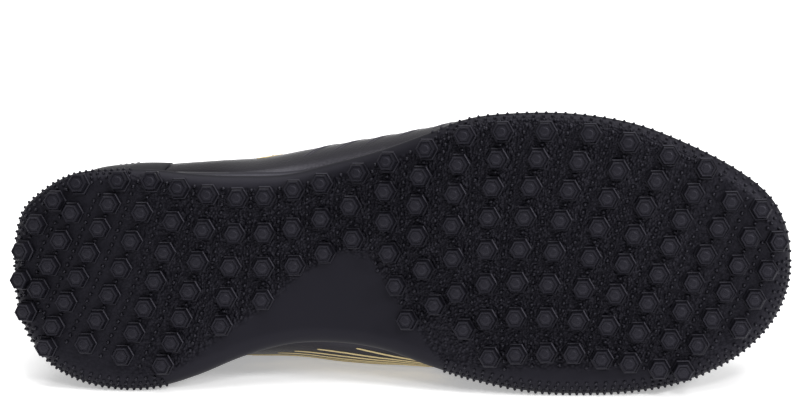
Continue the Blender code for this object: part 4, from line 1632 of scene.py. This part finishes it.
@dataclass
class Overlays:
    """The heel counter and the two eyestays, with their stitching and eyelets."""

    thickness: float = 0.0012
    taper: float = 0.014
    throat_top: float = 8.75
    throat_end: float = 13.125
    low: float = 0.80
    high: float = 0.985
    eyelet_share: float = 0.92
    first_eyelet: float = 8.9
    last_eyelet: float = 12.8
    eyelets: int = 6
    ring: float = 0.0026
    ring_wire: float = 0.0008
    counter_reach: float = 5.0
    counter_low: float = 0.04
    counter_high: float = 0.60
    counter_fall: float = 0.32
    stitch_reach: float = 4.0
    counter_hem: float = 0.03
    counter_size: tuple[float, float] = (0.15, 0.03)
    counter_cells: tuple[int, int] = (96, 32)
    stay_hem: float = 0.02
    stay_end: float = 0.1
    stay_size: tuple[float, float] = (0.066, 0.012)
    stay_cells: tuple[int, int] = (90, 24)

    def counter_top(self, places: Array) -> Array:
        """The heel counter's upper edge, as shares of the ribs."""
        return self.counter_high - self.counter_fall * (np.abs(places) / self.counter_reach) ** 2

    def build(self) -> None:
        """The three overlays, in place of their solids."""

        def counter(u: Array, v: Array) -> tuple[Array, Array]:
            places = self.counter_reach * (1.0 - 2.0 * u)
            return places, self.counter_low + (self.counter_top(places) - self.counter_low) * v

        form = bmesh.new()
        add_patch(form, self.counter_cells, counter, self.counter_size, self.thickness, LAST.gap, self.taper)
        piece = finish_piece("leather_heel_counter", form, (OVERLAY_LEATHER,), sharp=60.0)
        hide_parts("heel_counter")
        for flank, node in ((Flank.MEDIAL, "eyestay_medial"), (Flank.LATERAL, "eyestay_lateral")):

            def stay(u: Array, v: Array, flank: Flank = flank) -> tuple[Array, Array]:
                places = self.throat_end + (self.throat_top - self.throat_end) * u
                if flank is Flank.LATERAL:
                    places = LAST.places - places
                return places, self.low + (self.high - self.low) * v

            form = bmesh.new()
            add_patch(form, self.stay_cells, stay, self.stay_size, self.thickness, LAST.gap)
            piece = finish_piece("leather_" + node, form, (OVERLAY_LEATHER,), sharp=60.0)
            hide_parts(node)
        self.stitch()
        self.add_eyelets()

    def stitch(self) -> None:
        """The stitching along the overlays' borders."""
        form = bmesh.new()
        lift = LAST.gap + self.thickness
        places = np.linspace(-self.stitch_reach, self.stitch_reach, 13)
        rows = np.column_stack((places, self.counter_top(places) - self.counter_hem))
        add_stitches(form, rows, lift)
        for flank in Flank:
            line = np.linspace(self.throat_top + self.stay_end, self.throat_end - self.stay_end, 8)
            around = line if flank is Flank.MEDIAL else LAST.places - line
            for share in (self.low + self.stay_hem, self.high - self.stay_hem):
                add_stitches(form, np.column_stack((around, np.full(len(line), share))), lift)
        finish_piece("overlay_stitching", form, (THREAD,), sharp=80.0)

    def eyelet_places(self) -> Array:
        """Places of the eyelets on the medial side."""
        return np.linspace(self.first_eyelet, self.last_eyelet, self.eyelets)

    def add_eyelets(self) -> None:
        """A turned ring round each eyelet."""
        form = bmesh.new()
        for place in self.eyelet_places():
            for spot in (place, LAST.places - place):
                pair = (np.array([spot]), np.array([self.eyelet_share]))
                middle = Vector(LAST.face(*pair, LAST.gap + self.thickness)[0])
                out = Vector(LAST.normals(*pair)[0])
                turn = Vector((0.0, 0.0, 1.0)).rotation_difference(out).to_matrix().to_4x4()
                wire = bmesh.ops.create_circle(
                    form, segments=8, radius=self.ring_wire,
                    matrix=Matrix.Translation((self.ring, 0.0, 0.0)) @ Matrix.Rotation(math.pi / 2, 4, "X"),
                )
                edges = list({edge for vert in wire["verts"] for edge in vert.link_edges})
                known = set(form.verts) - set(wire["verts"])
                bmesh.ops.spin(
                    form, geom=wire["verts"] + edges, cent=(0.0, 0.0, 0.0), axis=(0.0, 0.0, 1.0),
                    angle=2.0 * math.pi, steps=24, use_merge=True,
                )
                turned = [vert for vert in form.verts if vert not in known]
                bmesh.ops.transform(form, matrix=Matrix.Translation(middle) @ turn, verts=turned)
        weld(form)
        finish_piece("eyelets", form, (EYELET,), sharp=80.0)


# The tongue's rounded tip: how far along its reach each row lies, and the row's share of the full width.
TONGUE_TIP = ((0.45, 0.96), (0.85, 0.88), (1.0, 0.72))


@dataclass
class Tongue:
    """The padded tongue, from under the vamp to above the collar."""

    thickness: float = 0.0045
    lap: float = 0.0070
    reach: float = 0.0200
    ease: float = 0.0008
    wall: float = 0.0022
    crown: float = 0.25
    tip_rise: float = 0.2
    lowest: float = 0.3
    cloth: tuple[float, float] = (0.06, 0.12)
    lap_end: float = 8.0
    front_place: float = 13.8
    rear_place: float = 8.4
    across: int = 16
    samples: int = 240

    def row(self, place: float, across: int) -> Array:
        """One cross section: under the upper at its sides, crowned in the throat.

        Args:
            place: Place on the medial side.
            across: Faces from side to side.

        Returns:
            Points from the lateral to the medial side.
        """
        other = LAST.places - place
        depth = -(self.wall + self.ease)
        top = np.array([1.0])
        medial = LAST.face(np.array([place]), top, depth)[0]
        lateral = LAST.face(np.array([other]), top, depth)[0]
        half = 0.5 * abs(medial[1] - lateral[1])
        lap = self.lap * min(max(0.5 * (place - self.lap_end), 0.0), 1.0)
        shares = np.linspace(self.lowest, 1.0, self.samples)
        under = {
            1.0: LAST.face(np.full(self.samples, place), shares, depth),
            -1.0: LAST.face(np.full(self.samples, other), shares, depth),
        }
        middle = 0.5 * (medial[1] + lateral[1])
        points = []
        for step in np.linspace(-1.0, 1.0, across + 1):
            aside = step * (half + lap)
            if abs(aside) <= half:
                share = 0.5 * (1.0 + aside / half)
                rise = self.crown * half * (1.0 - (aside / half) ** 2)
                points.append(lateral + (medial - lateral) * share + np.array((0.0, 0.0, rise)))
            else:
                line = under[float(np.sign(step))]
                points.append(line[np.argmin(np.abs(line[:, 1] - middle - aside))])
        return np.array(points)

    def crest(self, place: float) -> float:
        """Height of the tongue's middle at a place."""
        _, middle, _ = self.row(place, 2)
        return float(middle[2])

    def build(self) -> Piece:
        """The tongue, in place of its solid."""
        places = np.linspace(self.front_place, self.rear_place, 10)
        rows = [self.row(place, self.across) for place in places]
        lead = rows[-1] - rows[-3]
        lead = lead / np.linalg.norm(lead, axis=1)[:, None]
        top = rows[-1]
        middle = top.mean(axis=0)
        for step, narrow in TONGUE_TIP:
            rise = np.array((0.0, 0.0, self.tip_rise * self.reach * step))
            rows.append(middle + (top - middle) * (1.0, narrow, 1.0) + lead * self.reach * step + rise)
        table = np.array(rows)

        def shape(u: Array, v: Array) -> Array:
            side = np.rint(u * self.across).astype(int)
            return table[np.rint(v * (len(rows) - 1)).astype(int), side]

        form = bmesh.new()
        add_grid(form, self.across, len(rows) - 1, shape, self.cloth)
        piece = finish_piece("padded_tongue", form, (LINING,), sharp=80.0)
        solid = piece.modifiers.new("padding", "SOLIDIFY")
        solid.thickness = self.thickness
        solid.offset = -1.0
        smooth = piece.modifiers.new("soft", "SUBSURF")
        smooth.levels = 2
        smooth.render_levels = 2
        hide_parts("tongue")
        return piece


@dataclass
class Lace:
    """The flat lace's bars across the throat, each let into its two eyelets."""

    width: float = 0.0060
    thickness: float = 0.0016
    sunk: float = 0.0010
    edge_shares: tuple[float, float] = (0.955, 0.995)
    first_step: float = 0.012
    end_width: float = 0.55
    end_swell: float = 0.25
    steps: int = 56
    sides: int = 16

    def build(self, overlays: Overlays, tongue: Tongue) -> Piece:
        """The lace, in place of its six solids.

        Args:
            overlays: The eyestays with their eyelets.
            tongue: What the bars cross.

        Returns:
            The piece.
        """
        form = bmesh.new()
        lift = overlays.thickness + 3.0 * LAST.gap + 0.5 * self.thickness
        for place in overlays.eyelet_places():
            halves = []
            for spot in (place, LAST.places - place):
                start = overlays.eyelet_share
                shares = np.array((start, start + self.first_step, *self.edge_shares))
                places = np.full(len(shares), spot)
                lifts = np.array((-self.sunk, lift * 0.7, lift, lift))
                halves.append((LAST.face(places, shares, lifts), LAST.normals(places, shares)))
            (medial, medial_out), (lateral, lateral_out) = halves
            between = 0.5 * (medial[-1] + lateral[-1])
            bulge = max(tongue.crest(place) + 2.0 * LAST.gap + 0.5 * self.thickness - between[2], 0.0)
            points = list(medial)
            outs = list(medial_out)
            for share in (0.25, 0.5, 0.75):
                rise = np.array((0.0, 0.0, bulge * (1.0 - (2.0 * share - 1.0) ** 2)))
                points.append(medial[-1] + (lateral[-1] - medial[-1]) * share + rise)
                outs.append(medial_out[-1] + (lateral_out[-1] - medial_out[-1]) * share)
            path = smooth_path(np.array(points + list(lateral[::-1])), self.steps)
            normals = smooth_path(np.array(outs + list(lateral_out[::-1])), self.steps)
            flat = np.clip(np.sin(np.linspace(0.0, math.pi, self.steps)) * 4.0, 0.0, 1.0)
            widths = self.width * (self.end_width + (1.0 - self.end_width) * flat ** 1.5)
            heights = self.thickness * (1.0 + self.end_swell * (1.0 - flat))
            add_band(form, path, normals, widths, heights, self.sides)
        weld(form)
        piece = finish_piece("flat_lace", form, (WEBBING,), sharp=80.0)
        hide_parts(*(f"lace_{index + 1}" for index in range(overlays.eyelets)))
        return piece


# Studio


class Lamp(NamedTuple):
    """A soft lamp: its name, where it hangs, its width and its power in watts."""

    name: str
    place: tuple[float, float, float]
    size: float
    power: float


LAMPS = (
    Lamp("above", (0.1, 0.1, 2.0), 2.4, 44.0),
    Lamp("front", (0.5, -1.1, 1.2), 0.4, 7.0),
    Lamp("toe side", (1.12, -0.52, 0.70), 0.25, 8.0),
)
LAMP_AIM = Vector((0.0, 0.0, 0.04))

PALE = (0.93, 0.93, 0.93)
FLOOR = Finish("pale floor", PALE, PALE, 0.8, gloss=0.2, tint=PALE, glow=0.40)


@dataclass
class Studio:
    """Camera, floor and soft light."""

    azimuth: float = 8.4
    elevation: float = 17.6
    distance: float = 1.57
    frame_width: float = 0.2915
    aim: tuple[float, float, float] = (0.0032, -0.045, 0.0724)
    roll: float = -2.3
    sensor: float = 36.0
    floor_half: float = 3.0
    room_light: float = 0.42

    def camera(self) -> None:
        """The camera at the photograph's angle."""
        data = bpy.data.cameras.new("camera")
        camera = bpy.data.objects.new("camera", data)
        bpy.context.scene.collection.objects.link(camera)
        turn = math.radians(self.azimuth)
        rise = math.radians(self.elevation)
        back = Vector((math.sin(turn) * math.cos(rise), -math.cos(turn) * math.cos(rise), math.sin(rise)))
        look = (-back).to_track_quat("-Z", "Y").to_matrix().to_4x4()
        camera.matrix_world = (
            Matrix.Translation(Vector(self.aim) + back * self.distance) @ look
            @ Matrix.Rotation(math.radians(self.roll), 4, "Z")
        )
        data.sensor_width = self.sensor
        data.lens = self.sensor * self.distance / self.frame_width
        data.clip_start = 0.05
        data.clip_end = 30.0
        bpy.context.scene.camera = camera

    def floor(self) -> None:
        """A plain pale floor."""
        form = bmesh.new()
        bmesh.ops.create_grid(form, x_segments=1, y_segments=1, size=self.floor_half)
        mesh = bpy.data.meshes.new("floor")
        form.to_mesh(mesh)
        form.free()
        mesh.materials.append(FLOOR.material())
        floor = bpy.data.objects.new("floor", mesh)
        bpy.context.scene.collection.objects.link(floor)

    def lights(self) -> None:
        """A bright room with a soft lamp above, one in front and one at the toe's side."""
        world = bpy.data.worlds.new("studio")
        world.use_nodes = True
        backdrop = world.node_tree.nodes["Background"]
        backdrop.inputs["Color"].default_value = (*WHITE, 1.0)
        backdrop.inputs["Strength"].default_value = self.room_light
        bpy.context.scene.world = world
        for name, place, size, power in LAMPS:
            data = bpy.data.lights.new(name, "AREA")
            data.shape = "DISK"
            data.size = size
            data.energy = power
            lamp = bpy.data.objects.new(name, data)
            bpy.context.scene.collection.objects.link(lamp)
            turn = (LAMP_AIM - Vector(place)).to_track_quat("-Z", "Y").to_matrix().to_4x4()
            lamp.matrix_world = Matrix.Translation(place) @ turn
        bpy.context.scene.view_settings.view_transform = "Standard"


LAID = standing_to_lying()


def main() -> None:
    """Build the studio and every piece of the shoe."""
    logging.basicConfig(level=logging.INFO, format="%(message)s")
    studio = Studio()
    studio.camera()
    studio.floor()
    studio.lights()
    outsole = Outsole()
    outsole.build()
    Midsole().build(outsole)
    Insole().build()
    upper = Upper()
    upper.build()
    upper.dress()
    overlays = Overlays()
    overlays.build()
    tongue = Tongue()
    tongue.build()
    Lace().build(overlays, tongue)


if __name__ == "__main__":
    main()
